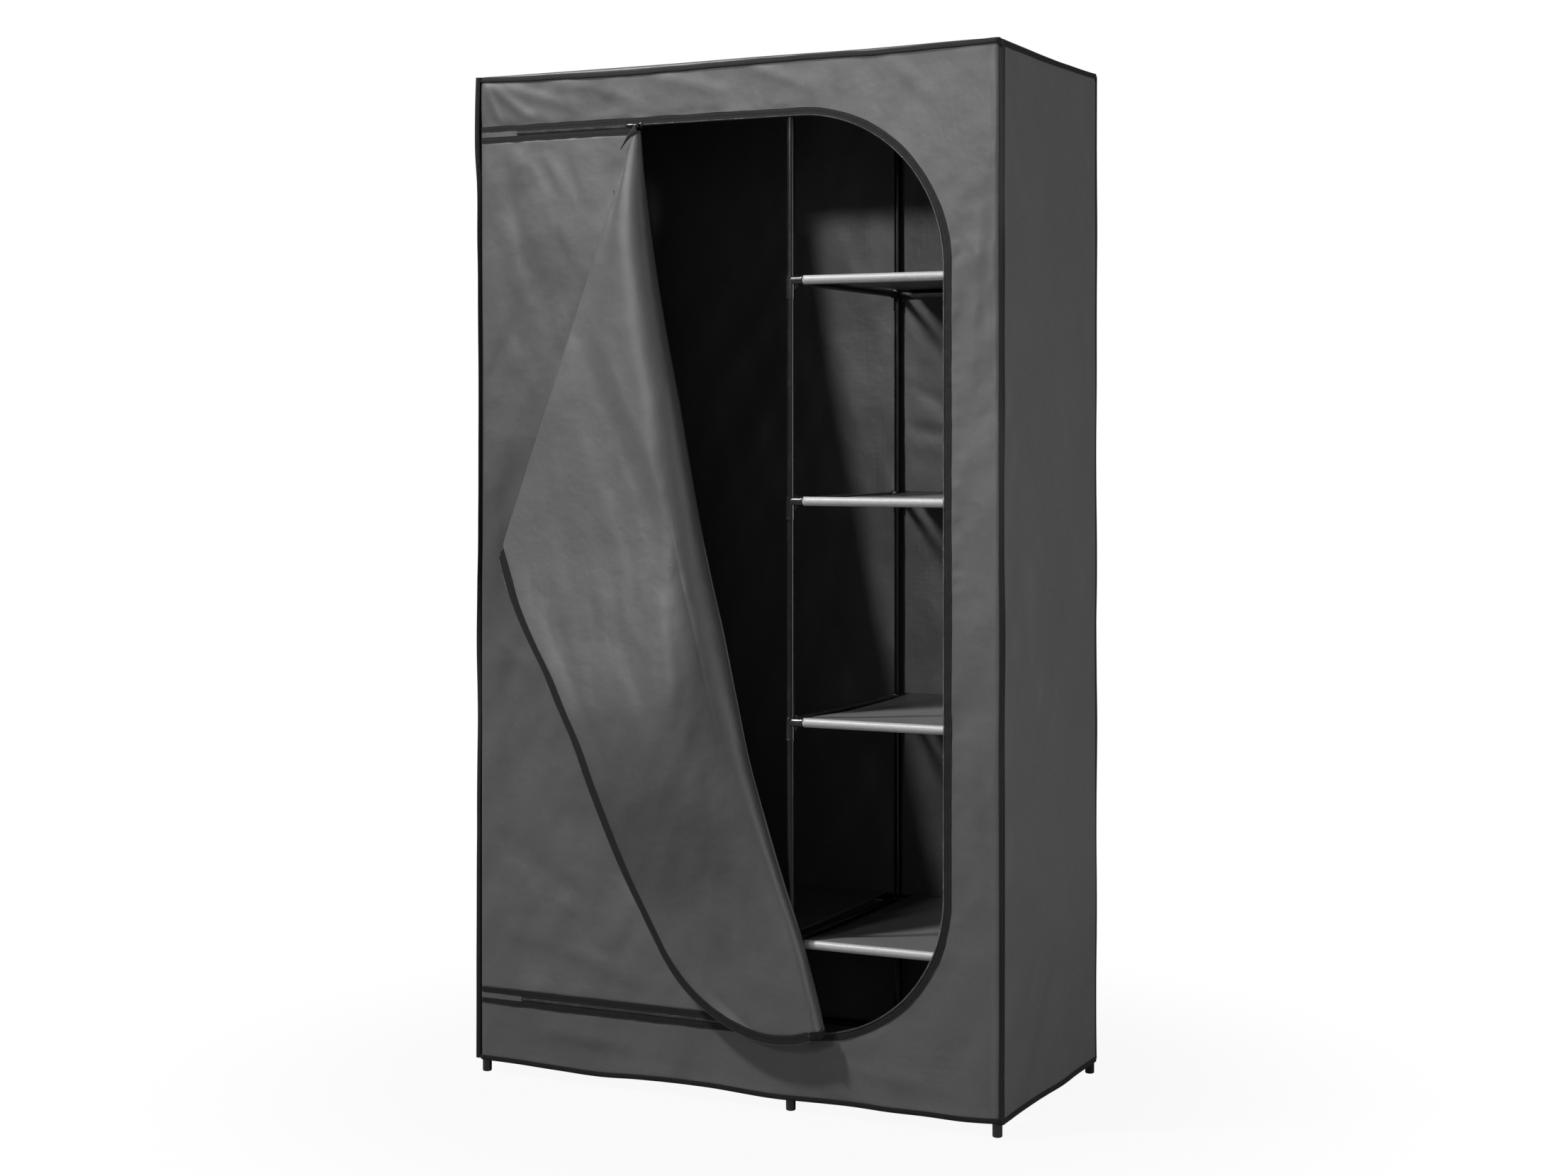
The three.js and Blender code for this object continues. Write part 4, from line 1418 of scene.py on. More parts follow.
@dataclass
class Door:
    """The door's cloth: the panel that stays, the rounded fold, the flap and its turned-under corner."""

    shape: CoverShape
    zip_line: ZipLine
    fold: FoldLine
    finishes: Finishes
    thickness: float = 0.9 * MM
    corner_drop: float = 486 * MM
    corner_standoff: float = 4 * MM
    hem_offset: float = -9 * MM
    rows: int = 190
    panel_columns: int = 76
    rear_columns: int = 8
    flap_columns: int = 96
    # By height in millimetres: lean of the staying part's cloth, breadth of the roll's soft turn
    # and its steepness
    lean: Profile = (
        (110, 0), (200, -0.07), (330, -0.06), (450, 0.0), (560, 0.05), (680, 0.11), (800, 0.14), (900, 0.10),
        (1000, 0.05), (1150, 0.02), (1300, 0), (1467, 0),
    )
    band: Profile = (
        (110, 30), (200, 40), (330, 70), (430, 130), (520, 170), (620, 160), (740, 120), (860, 90),
        (1000, 75), (1150, 72), (1300, 62), (1400, 45), (1467, 30),
    )
    steep: Profile = (
        (110, 0.1), (200, 0.2), (330, 0.4), (430, 0.6), (520, 0.75), (620, 0.92), (740, 1.0), (860, 0.92),
        (1000, 0.78), (1150, 0.65), (1300, 0.45), (1400, 0.25), (1467, 0.1),
    )
    # How far the flap's edge hangs outwards, by distance along it in millimetres
    edge_slack: Profile = (
        (-60, 0), (8, 7), (66, 14), (132, 13), (196, 8), (246, 8), (304, 6), (372, 9), (438, 10), (514, 9),
        (592, 3), (672, -3), (742, -3.5), (798, -3), (848, -2), (892, -1), (962, 0), (1100, 0),
    )

    def heights(self) -> Array:
        """Heights of the door's rows, from the top down."""
        high, low = self.zip_line.top + self.hem_offset, self.zip_line.bottom - self.hem_offset
        return np.linspace(high, low, self.rows)

    def panel_part(self, z: Array) -> Array:
        """Points of the part that stays, from the left seam to the fold, at heights z.

        Args:
            z: Heights of the rows.

        Returns:
            A grid of points, rows from the top down.
        """
        fold, shape = self.fold, self.shape
        start = shape.corner(-1, -1, z)[:, :1]
        end = (fold.edge_x(z) - fold.standoff(z) * 0.5)[:, None]
        u = np.concatenate([np.linspace(0, 0.02, 7)[:-1], np.linspace(0.02, 1, self.panel_columns)])
        x = start * (1 - u) + end * u
        grid = spots(x, shape.front + shape.roundness(x + shape.half_width), z[:, None])
        up = grid[..., 2]
        slack = Slack(81, 3.4, 1.3, creases(
            (-0.424, 1.455, -0.418, 0.85, 0.006, 2.6), (-0.40, 1.452, -0.34, 1.20, 0.014, -2.6),
            (-0.375, 1.452, -0.20, 1.20, 0.016, 2.2), (-0.33, 1.452, -0.25, 1.33, 0.010, 1.8),
            (-0.24, 1.44, -0.36, 1.05, 0.026, -2.4), (-0.43, 1.22, -0.30, 1.00, 0.02, 2.4),
            (-0.42, 0.98, -0.36, 0.70, 0.016, -2.4), (-0.41, 0.80, -0.20, 0.40, 0.04, 3.0),
            (-0.43, 0.70, -0.33, 0.62, 0.014, 2.2), (-0.40, 0.45, -0.10, 0.20, 0.03, 2.6),
            (-0.43, 0.38, -0.20, 0.26, 0.02, -2.4), (-0.42, 0.24, -0.10, 0.16, 0.016, 2.0),
            (-0.40, 0.155, 0.00, 0.15, 0.008, -1.4),
        ))
        near_zip = np.minimum(self.zip_line.top - up, up - self.zip_line.bottom)
        by_fold = smooth(1 - u, 0, 0.12)[None]
        hold = smooth(near_zip, 0.013, 0.06) * smooth(x - start, 0.008, 0.03) * by_fold
        cap = 2.6 * MM * (1 - smooth(x, -0.34, -0.20)) + 0.4 * MM
        lift = np.minimum(slack.lift(x, up, hold), cap)
        clear = smooth(x, -0.414, -0.37) * smooth(np.abs(up - 0.247), 0.012, 0.05)
        lift = np.where(lift < 0, lift * clear, lift)
        pull = smooth(near_zip, 0.012, 0.018) * np.exp(-((np.clip(near_zip - 0.013, 0, None) / 0.012) ** 2))
        grid[..., 1] -= lift + 0.5 * MM * pull * ripple(x, 0.014, 86) * by_fold
        return grid

    def droop(self, x: Array, z: Array) -> Array:
        """How far the flap's lower edge hangs down beside the fold's foot."""
        return 7 * MM * smooth(x, -0.05, 0.07) * (1 - smooth(z, 0.13, 0.26))

    def roll_part(self, z: Array) -> Array:
        """Points of the rounded fold, from the panel to the flap, at heights z.

        Args:
            z: Heights of the rows.

        Returns:
            A grid of points, rows from the top down.
        """
        fold = self.fold
        half = fold.standoff(z)[:, None] / 2
        wide, deep = fold.wide(z)[:, None], half + fold.swell(z)[:, None]
        edge = fold.edge_x(z)[:, None]
        rear = np.radians(np.linspace(0, 85, self.rear_columns + 1)[1:])[None]
        fore = np.radians(np.concatenate([np.linspace(5, 40, 6), np.linspace(50, 90, 5)]))[None]
        x = np.concatenate([edge - half * (1 - np.sin(rear)), edge - wide * (1 - np.cos(fore))], axis=1)
        y = np.concatenate([half * (1 - np.cos(rear)), half + deep * np.sin(fore)], axis=1)
        tall = np.repeat(z[:, None], x.shape[1], axis=1)
        tall = tall - self.droop(x, tall) * smooth(np.arange(x.shape[1]), 5, 12)[None]
        return spots(x, self.shape.front - y, tall)

    def corner_fold(self) -> tuple[Array, Array]:
        """Ends of the second fold on the shut door, top left and lower right."""
        start = np.array([self.fold.axis_top[0], self.zip_line.top])
        end = np.array([self.zip_line.right, self.zip_line.top - self.corner_drop])
        return start, end

    def beyond(self, line: Array) -> Array:
        """How far points of the shut door lie beyond the second fold, towards the turned corner."""
        start, end = self.corner_fold()
        way = unit(end - start)
        return (line[:, 0] - start[0]) * -way[1] + (line[:, 1] - start[1]) * way[0]

    def free_edge(self, offset: float) -> Array:
        """The flap's sewn edge on the shut door, from the second fold down to the fold line.

        Args:
            offset: Distance from the zip's line, negative towards the door.

        Returns:
            Points as pairs of x and z.
        """
        line = self.zip_line.points(offset, self.fold.axis_top[0], self.fold.axis_bottom[0], 3 * MM)
        length = walked(line) - 886 * MM
        line = line + self.zip_line.outward(line) * follow(self.edge_slack, length / MM)[:, None] * MM
        below = line[(self.beyond(line) < 0) & (line[:, 1] < self.zip_line.top - 0.6 * self.corner_drop)]
        return below[below[:, 0] >= self.fold.axis_x(below[:, 1]) + 1 * MM]

    def lay(self, flat: Array, proud: float = 0.0) -> Array:
        """Lay points of the shut flap as they are when it is folded back.

        Args:
            flat: Points as pairs of x and z.
            proud: Distance behind the shut door's face, which is in front when it is folded back.

        Returns:
            Points in space.
        """
        fold, line = self.fold, self.zip_line
        x, z = flat[..., 0], flat[..., 1]
        rest = fold.back(spots(x, self.shape.front + proud, z))
        start, end = self.corner_fold()
        second = start[0] + (end[0] - start[0]) * np.clip((start[1] - z) / (start[1] - end[1]), 0, 1)
        rise = np.clip(line.bottom + line.bottom_radius - z, 0, line.bottom_radius)
        arc = line.right - line.bottom_radius + np.sqrt(line.bottom_radius**2 - rise**2)
        width = np.maximum(np.minimum(second, arc) - fold.axis_x(z), 4 * MM)
        share = np.clip((x - fold.axis_x(z)) / width, 0, 1)
        near = fold.edge_x(z) - fold.wide(z) - fold.axis_x(z)
        rest[..., 0] += near * (1 - smooth(share, 0, 1))
        rest[..., 2] -= self.droop(rest[..., 0], z)
        return rest

    def flap_part(self, z: Array) -> Array:
        """Points of the flap folded back, from the fold to its free edge, for heights z of the fold.

        Args:
            z: Heights of the rows where they leave the fold.

        Returns:
            A grid of points, rows from the top down.
        """
        start, end = self.corner_fold()
        line = self.zip_line
        crease_line = start + (end - start) * np.linspace(0.03, 0.985, 80)[:, None]
        away = by_length(np.concatenate([crease_line, self.free_edge(self.hem_offset)]), 1.5 * MM)
        low = (away[:, 1] < line.bottom + line.bottom_radius * 0.3) & (away[:, 0] > 0.1)
        split = int(np.argmax(low))
        side, base = away[: split + 1], away[split:]
        v, u = np.linspace(0, 1, len(z)), np.linspace(0, 1, self.flap_columns)
        free = read_off(side, np.arange(len(side)), v**0.95 * (len(side) - 1))
        floor = read_off(base, np.arange(len(base)), (1 - u) * (len(base) - 1))
        near = np.stack([self.fold.axis_x(z), z], axis=1)
        floor[0] = near[-1]
        high = near[0] * (1 - u[:, None]) + free[0] * u[:, None]
        flat = CoverShape.patch(near, free, high, floor, v, u)
        rest = self.lay(flat)
        x, up, w = rest[..., 0], rest[..., 2], u[None]
        from_fold = np.linalg.norm(flat - near[:, None], axis=-1)
        clear = smooth(0.088 - self.fold.back(rest)[..., 0], 0, 0.05)
        forward = self.fold.swell(z)[:, None] * (1 - smooth(w, 0.05, 1.0)) * np.where(w > 0, clear, 1)
        dips = 2.2 * (0.5 + 0.5 * swell(x, up, (0.11, 0.34), 91))
        dips += 1.8 * (0.5 + 0.5 * swell(x + 0.3 * up, up, (0.05, 0.14), 93))
        dips += 0.5 * swell(x, up, (0.025, 0.06), 95)
        for crease in creases(
            (-0.12, 0.93, -0.05, 0.72, 0.022, 1.3), (-0.08, 0.80, 0.02, 0.52, 0.026, 1.4),
            (-0.20, 0.70, -0.02, 0.45, 0.03, 1.6), (-0.24, 1.20, -0.16, 0.80, 0.03, 1.4),
            (-0.05, 0.42, 0.08, 0.20, 0.03, 1.6),
        ):
            dips += crease.lift(x, up)
        room = smooth(from_fold, 0.01, 0.06) * smooth((1 - w) * from_fold[:, -1:], 0.006, 0.04)
        room = room * (1 - 0.62 * smooth(flat[..., 1], 0.80, 1.05))
        rest[..., 1] += dips * MM * room - forward
        return rest

    def make(self) -> list[bpy.types.Object]:
        """Make the door's cloth and its turned-under corner."""
        z = self.heights()
        panel, roll, flap = self.panel_part(z), self.roll_part(z), self.flap_part(z)
        turn = roll.shape[1] - self.rear_columns
        share = (np.arange(turn) + 1) / turn
        roll[:, self.rear_columns :, 1] += (flap[:, :1, 1] - roll[:, -1:, 1]) * share**2
        grid = np.concatenate([panel, roll, flap[:, 1:]], axis=1)
        seam = panel.shape[1]
        toward = np.zeros_like(grid)
        toward[:, :seam, 1] = -1
        relief = self.relief(grid, z, seam, seam + self.rear_columns)
        uv = np.stack([walked_across(grid), grid[..., 2]], axis=-1)
        piece = Geometry().shell(grid, self.thickness, toward, uv, relief).build("door_cloth", None)
        dress(piece, self.finishes.door_cloth, None, ["door_panel", "door_flap"])
        self.bend(piece)
        return [piece, self.turned_corner()]

    def relief(self, grid: Array, z: Array, panel: int, edge: int) -> Array:
        """Soft folds of the door that only the shading shows.

        Args:
            grid: Points of the whole door.
            z: Heights of its rows.
            panel: Number of columns of the part that stays.
            edge: Column of the fold's right edge.

        Returns:
            Height of each point along the outer side's normal.
        """
        x, up = grid[..., 0], grid[..., 2]
        lean = np.concatenate([[0], np.cumsum(follow(self.lean, z[:-1] / MM) * np.diff(z))])[:, None]
        made = soft_folds(x, up, 181, 1.1) + (lean - lean.mean()) * (1 - smooth(x, 0.02, 0.16))
        broad = follow(self.band, z / MM)[:, None] * MM
        share = np.clip(walked_across(grid[:, edge:]) / broad, 0, 1)
        rise = broad * (share - share**3 + share**4 / 2) * follow(self.steep, z / MM)[:, None]
        made[:, edge:] = -(0.55 * soft_folds(x[:, edge:], up[:, edge:], 191, 1.0) + rise)
        made[:, panel:edge] *= 1 - smooth(np.arange(edge - panel) / (edge - panel), 0, 1)[None]
        return made

    def bend(self, piece: bpy.types.Object) -> None:
        """Bake the door's cloth into place; the ends of a short span across its fold line are worked out and
        not used.
        """
        fold = self.fold
        middle = (fold.axis_top + fold.axis_bottom) / 2
        slope = (fold.axis_bottom[1] - fold.axis_top[1]) / (fold.axis_bottom[2] - fold.axis_top[2])
        way = unit(np.array([0, -1.0, slope]))
        start, end = middle - way * 0.15 * MM, middle + way * 0.15 * MM
        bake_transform(piece)

    def mirrored(self, line: Array) -> Array:
        """Points of the turned corner, mirrored at the second fold."""
        start, end = self.corner_fold()
        way = unit(end - start)
        return self.clear_of_fold(line - 2 * self.beyond(line)[:, None] * np.array([-way[1], way[0]]))

    def clear_of_fold(self, flat: Array, least: float = 62 * MM, ease: float = 24 * MM) -> Array:
        """The turned corner's points, eased away from the fold.

        Args:
            flat: Points as pairs of x and z.
            least: Distance from the fold line that they keep.
            ease: How softly they give way.

        Returns:
            The eased points.
        """
        from_fold = flat[..., 0] - self.fold.axis_x(flat[..., 1]) - least
        x = flat[..., 0] - from_fold + (from_fold + np.sqrt(from_fold**2 + ease**2)) / 2
        return np.stack([x, flat[..., 1]], axis=-1)

    def corner_outline(self, offset: float) -> Array:
        """The turned corner's sewn edge before it is turned."""
        line = self.zip_line.points(offset, self.fold.axis_top[0] + 70 * MM, self.fold.axis_bottom[0], 3 * MM)
        keep = (self.beyond(line) > 0) & (line[:, 1] > self.zip_line.top - self.corner_drop - 0.05)
        return line[keep]

    def turned_corner(self) -> bpy.types.Object:
        """Make the corner that is turned under the flap."""
        start, end = self.corner_fold()
        way = unit(end - start)
        out = np.array([-way[1], way[0]])
        outline = self.corner_outline(self.hem_offset)
        along = (outline - start) @ way
        order = np.argsort(along)
        shares = np.linspace(0.13, 0.975, 90)
        length = np.linalg.norm(end - start)
        reach = np.interp(shares * length, along[order], self.beyond(outline)[order])
        radius = self.corner_standoff / 2
        base = start + (end - start) * shares[:, None]
        columns = []
        for angle in np.radians(np.linspace(-20, 180, 11)):
            columns.append(self.lay(base + out * radius * math.sin(angle), radius * (math.cos(angle) - 1)))
        for v in np.linspace(0.03, 1, 24):
            leaf = base - out * (reach * v)[:, None]
            leaf = leaf + (self.clear_of_fold(leaf) - leaf) * smooth(v, 0, 0.5)
            columns.append(self.lay(leaf, -self.corner_standoff))
        grid = np.stack(columns, axis=1)
        toward = np.zeros_like(grid)
        toward[:, 14:, 1] = 1
        leaf = Geometry().shell(grid, self.thickness, toward, grid[..., (0, 2)])
        piece = leaf.build("door_turned_corner", None)
        return dress(piece, self.finishes.door_cloth, Body.FLAP)


@dataclass
class Zips:
    """The zip's tapes, its coil and the flap tape's loose end."""

    shape: CoverShape
    zip_line: ZipLine
    fold: FoldLine
    door: Door
    finishes: Finishes
    tape_width: float = 12.5 * MM
    tape_thickness: float = 0.7 * MM
    gap: float = 1.7 * MM
    proud: float = 1.0 * MM
    # Where the chain starts, at the left of the upper and of the lower zip
    chain_top: float = -367 * MM
    chain_bottom: float = -359 * MM
    stitch_pitch: float = 3.0 * MM
    stitch: tuple[float, float, float] = (1.9 * MM, 0.4 * MM, 0.5 * MM)
    tooth_pitch: float = 1.7 * MM
    tooth: tuple[float, float, float] = (1.5 * MM, 1.7 * MM, 2.8 * MM)
    # The tape round the flap's edge is folded over it, and so thicker
    folded_thickness: float = 2.9 * MM
    corner_thickness: float = 1.9 * MM
    steps: int = 9
    flap_rows: int = 330
    corner_rows: int = 150
    # Shares of the tape's width at which it is stitched
    near_seam: float = 0.32
    far_seam: float = 0.86
    seams: list[Array] = field(default_factory=list)
    made: dict[Body, list] = field(default_factory=lambda: {Body.WARDROBE: [], Body.FLAP: []})

    def keep(
        self, piece: bpy.types.Object, material: bpy.types.Material | Sequence[bpy.types.Material],
        slot: Slot = Slot.BINDING, body: Body = Body.WARDROBE, nodes: Sequence[str] = (),
    ) -> None:
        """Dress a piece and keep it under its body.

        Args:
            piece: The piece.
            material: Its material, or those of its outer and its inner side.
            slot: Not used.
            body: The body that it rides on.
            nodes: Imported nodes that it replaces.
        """
        self.made[body].append(dress(piece, material, body, nodes))

    def sewn(self, share: float) -> float:
        """How far the stitches draw the tape in, by the share of its width."""
        near, far = (share - self.near_seam) / 0.09, (share - self.far_seam) / 0.08
        return 0.22 * MM * (math.exp(-(near**2)) + math.exp(-(far**2)))

    def band(self, line: Array, inner: float, outer: float, wobble: float = 0.6) -> Geometry:
        """Lay a flat tape on the front between two offsets of a line, and note its seams.

        Args:
            line: Points on the chain's line as pairs of x and z.
            inner: Distance of its edge by the chain.
            outer: Distance of its sewn edge.
            wobble: How far the sewn edge wanders, in millimetres.

        Returns:
            The tape.
        """
        out = self.zip_line.outward(line)
        length = walked(line)
        wander = wobble * MM * ripple(length, 0.035, 101)
        depth = self.shape.front - self.proud + 0.25 * MM * ripple(length, 0.013, 103)
        depth = depth + self.shape.roundness(self.shape.half_width - np.abs(line[:, 0]))
        wide = self.near_edge(line[:, 0], line[:, 1]) * (1 if outer > 0 else -1)
        steps = np.linspace(inner, outer, self.steps)
        columns = []
        for share, step in zip(np.linspace(0, 1, self.steps), steps):
            flat = line + out * (step + share * wander + (1 - share) * wide)[:, None]
            columns.append(spots(flat[:, 0], depth + self.sewn(share), flat[:, 1]))
        grid = np.stack(columns, axis=1)
        for seam in (self.near_seam, self.far_seam):
            past, low = math.modf(seam * (self.steps - 1))
            row = grid[:, int(low)] * (1 - past) + grid[:, int(low) + 1] * past
            self.seams.append(row - (0, 0.1 * MM, 0))
        return Geometry().shell(grid, self.tape_thickness, (0, -1, 0), laid_out(length, steps))

    def thread(self, name: str, seams: Sequence[Array], body: Body) -> None:
        """Stitch thread along seams, as a piece that rides on a body.

        Args:
            name: Name of one stitch; the piece's name ends in es.
            seams: Points of each seam.
            body: The body.
        """
        beads = Beads(name, self.stitch_pitch, self.stitch, self.finishes.thread, 4, 3)
        self.keep(beads.along(f"{name}es", seams), self.finishes.thread, body=body)

    def make(self) -> dict[Body, list[bpy.types.Object]]:
        """Make the tapes and the coil and give them by body."""
        line, tape = self.zip_line, self.finishes.tape
        left = -self.shape.half_width + self.shape.inset()
        on_front = self.band(line.points(0, left, left, 4 * MM), self.gap, self.tape_width)
        self.keep(on_front.build("tape_on_front", 50), tape, nodes=["zip_tape_frame"])
        for name, height, end, order in (
            ("top", line.top, self.fold.axis_top[0], 1),
            ("bottom", line.bottom, self.fold.axis_bottom[0], -1),
        ):
            path = np.stack([np.linspace(left, end - 14 * MM, 130), np.full(130, height)], axis=1)[::order]
            on_door = self.band(path, -self.gap, -self.tape_width, 0.4)
            self.keep(on_door.build(f"tape_on_door_{name}", 50), tape, nodes=[f"zip_door_{name}"])
        self.thread("tape_stitch", self.seams, Body.WARDROBE)
        self.strips(left)
        self.flap_tape()
        self.coils()
        return self.made

    def strips(self, left: float) -> None:
        """Make the cloth that shows between the tapes beside the start of each chain.

        Args:
            left: Where it starts across the front.
        """
        geometry = Geometry()
        for end, height in ((self.chain_top, self.zip_line.top), (self.chain_bottom, self.zip_line.bottom)):
            x = np.linspace(left, end + 3 * MM, 24)[None]
            z = height + np.linspace(-6, 6, 5)[:, None] * MM
            grid = spots(x, self.shape.front - 0.45 * MM + self.shape.roundness(self.shape.half_width + x), z)
            geometry.shell(grid, 0.5 * MM, (0, -1, 0), grid[..., (0, 2)])
        self.keep(geometry.build("zip_end_cloth", 50), self.finishes.cloth, Slot.COVER)

    def near_edge(self, x: Array, height: Array) -> Array:
        """Distance from the chain's line at which a tape starts, wider beside the chain's start."""
        middle = (self.zip_line.top + self.zip_line.bottom) / 2
        start = np.where(height > middle, self.chain_top, self.chain_bottom)
        return 2.6 * MM * (1 - smooth(x - start, -2 * MM, 6 * MM))

    def flap_columns(self, offset: float, proud: float) -> Array:
        """One line of the flap's tape: along its free edge and on under the roll's foot.

        Args:
            offset: Distance from the zip's line, negative towards the door.
            proud: Distance behind the shut door's face.

        Returns:
            Points in space.
        """
        line = self.door.lay(self.door.free_edge(offset), proud)
        z = np.array([self.zip_line.bottom - self.door.hem_offset])
        foot = self.door.roll_part(z)[0, self.door.rear_columns :][::-1].copy()
        way = unit(np.gradient(foot, axis=0) * (1, 1, 0))
        foot -= spots(-way[:, 1], way[:, 0], 0) * proud
        foot[:, 2] += offset - self.door.hem_offset - 0.5 * MM
        return np.concatenate([line, foot[foot[:, 0] > line[-1, 0] + 1 * MM]])

    def flap_tape(self) -> None:
        """Make the tape on the flap's free edge, on its turned corner and its loose end."""
        offsets = np.linspace(-self.gap, -self.tape_width, self.steps)
        columns = []
        for offset, share in zip(offsets, np.linspace(0, 1, self.steps)):
            line = self.flap_columns(float(offset), 1.6 * MM - self.sewn(share))
            length = walked(line)
            columns.append(read_off(line, length, np.linspace(0, length[-1], self.flap_rows)))
        grid = np.stack(columns, axis=1)
        uv = laid_out(walked(grid[:, 4]), offsets)
        geometry = Geometry().shell(grid, self.folded_thickness, (0, -1, 0), uv)
        columns = []
        for offset in np.linspace(-self.gap, -self.tape_width, 4):
            line = self.door.corner_outline(float(offset))
            flat = read_off(line, np.arange(len(line)), np.linspace(0, len(line) - 1, self.corner_rows))
            proud = -self.door.corner_standoff - self.tape_thickness
            columns.append(self.door.lay(self.door.mirrored(flat), proud))
        corner = np.stack(columns, axis=1)
        geometry.shell(corner, self.corner_thickness, (0, 1, 0), corner[..., (0, 2)])
        piece = geometry.build("tape_on_flap", 50)
        self.keep(piece, self.finishes.tape, body=Body.FLAP, nodes=["zip_tape_flap"])
        self.thread("flap_stitch", [grid[:, k] - (0, 0.05 * MM, 0) for k in (3, 7)], Body.FLAP)
        self.loose_end()

    def loose_end(self) -> None:
        """Make the soft end of the flap's tape, which hangs from the upper end of the zip."""
        t = np.linspace(0, 1, 14)
        start = (self.fold.axis_top[0] + 1 * MM, self.shape.front - 11 * MM, self.zip_line.top - 6 * MM)
        path = start + spots(-27 * MM * t, -1.5 * MM * np.sin(3 * t), -30 * MM * t**1.25)
        half = (6.0 * MM * (1 - t) ** 1.5 + 0.6 * MM)[:, None]
        side = unit(np.cross(tangents(path), np.array((0.25, -1.0, 0.2))))
        across = np.linspace(-1, 1, 5)
        grid = np.stack([path + side * half * v - (0, 0.8 * MM * (1 - v * v), 0) for v in across], axis=1)
        uv = laid_out(t * 0.04, (across + 1) * 0.006)
        piece = Geometry().shell(grid, self.tape_thickness, (0, -1, 0), uv).build("tape_loose_end", 50)
        self.keep(piece, self.finishes.tape, body=Body.FLAP)

    def coils(self) -> None:
        """Make the coil's teeth along the open and closed stretches."""
        line, top, bottom = self.zip_line, self.fold.axis_top[0], self.fold.axis_bottom[0]
        teeth = Beads("zip_teeth", self.tooth_pitch, self.tooth, self.finishes.coil)
        y = self.shape.front - self.proud - 0.3 * MM
        path = line.points(1.0 * MM, top, bottom - 12 * MM, 4 * MM)
        piece = teeth.along("coil_on_front", [spots(path[:, 0], y, path[:, 1])])
        self.keep(piece, self.finishes.coil, Slot.ZIP)
        core, paths = Geometry(), []
        up, near = np.tile((0, 0, 1.0), (2, 1)), np.tile((0, -1.0, 0), (2, 1))
        stretches = ((self.chain_top, top, line.top), (self.chain_bottom, bottom - 20 * MM, line.bottom))
        for start, end, height in stretches:
            x = np.linspace(start, end, 60)
            paths += [spots(x, y, height + side) for side in (-0.9 * MM, 0.9 * MM)]
            core.sweep(spots(x[[0, -1]], y + 0.9 * MM, height), up, near, round_bar(2.4 * MM, 0.4 * MM))
        self.keep(core.build("coil_core", 40), self.finishes.tape, Slot.ZIP)
        self.keep(teeth.along("coil_closed", paths), self.finishes.coil, Slot.ZIP)
        path = self.door.lay(self.door.free_edge(-1.0 * MM), 0.6 * MM)
        self.keep(teeth.along("coil_on_flap", [path]), self.finishes.coil, Slot.ZIP, Body.FLAP)


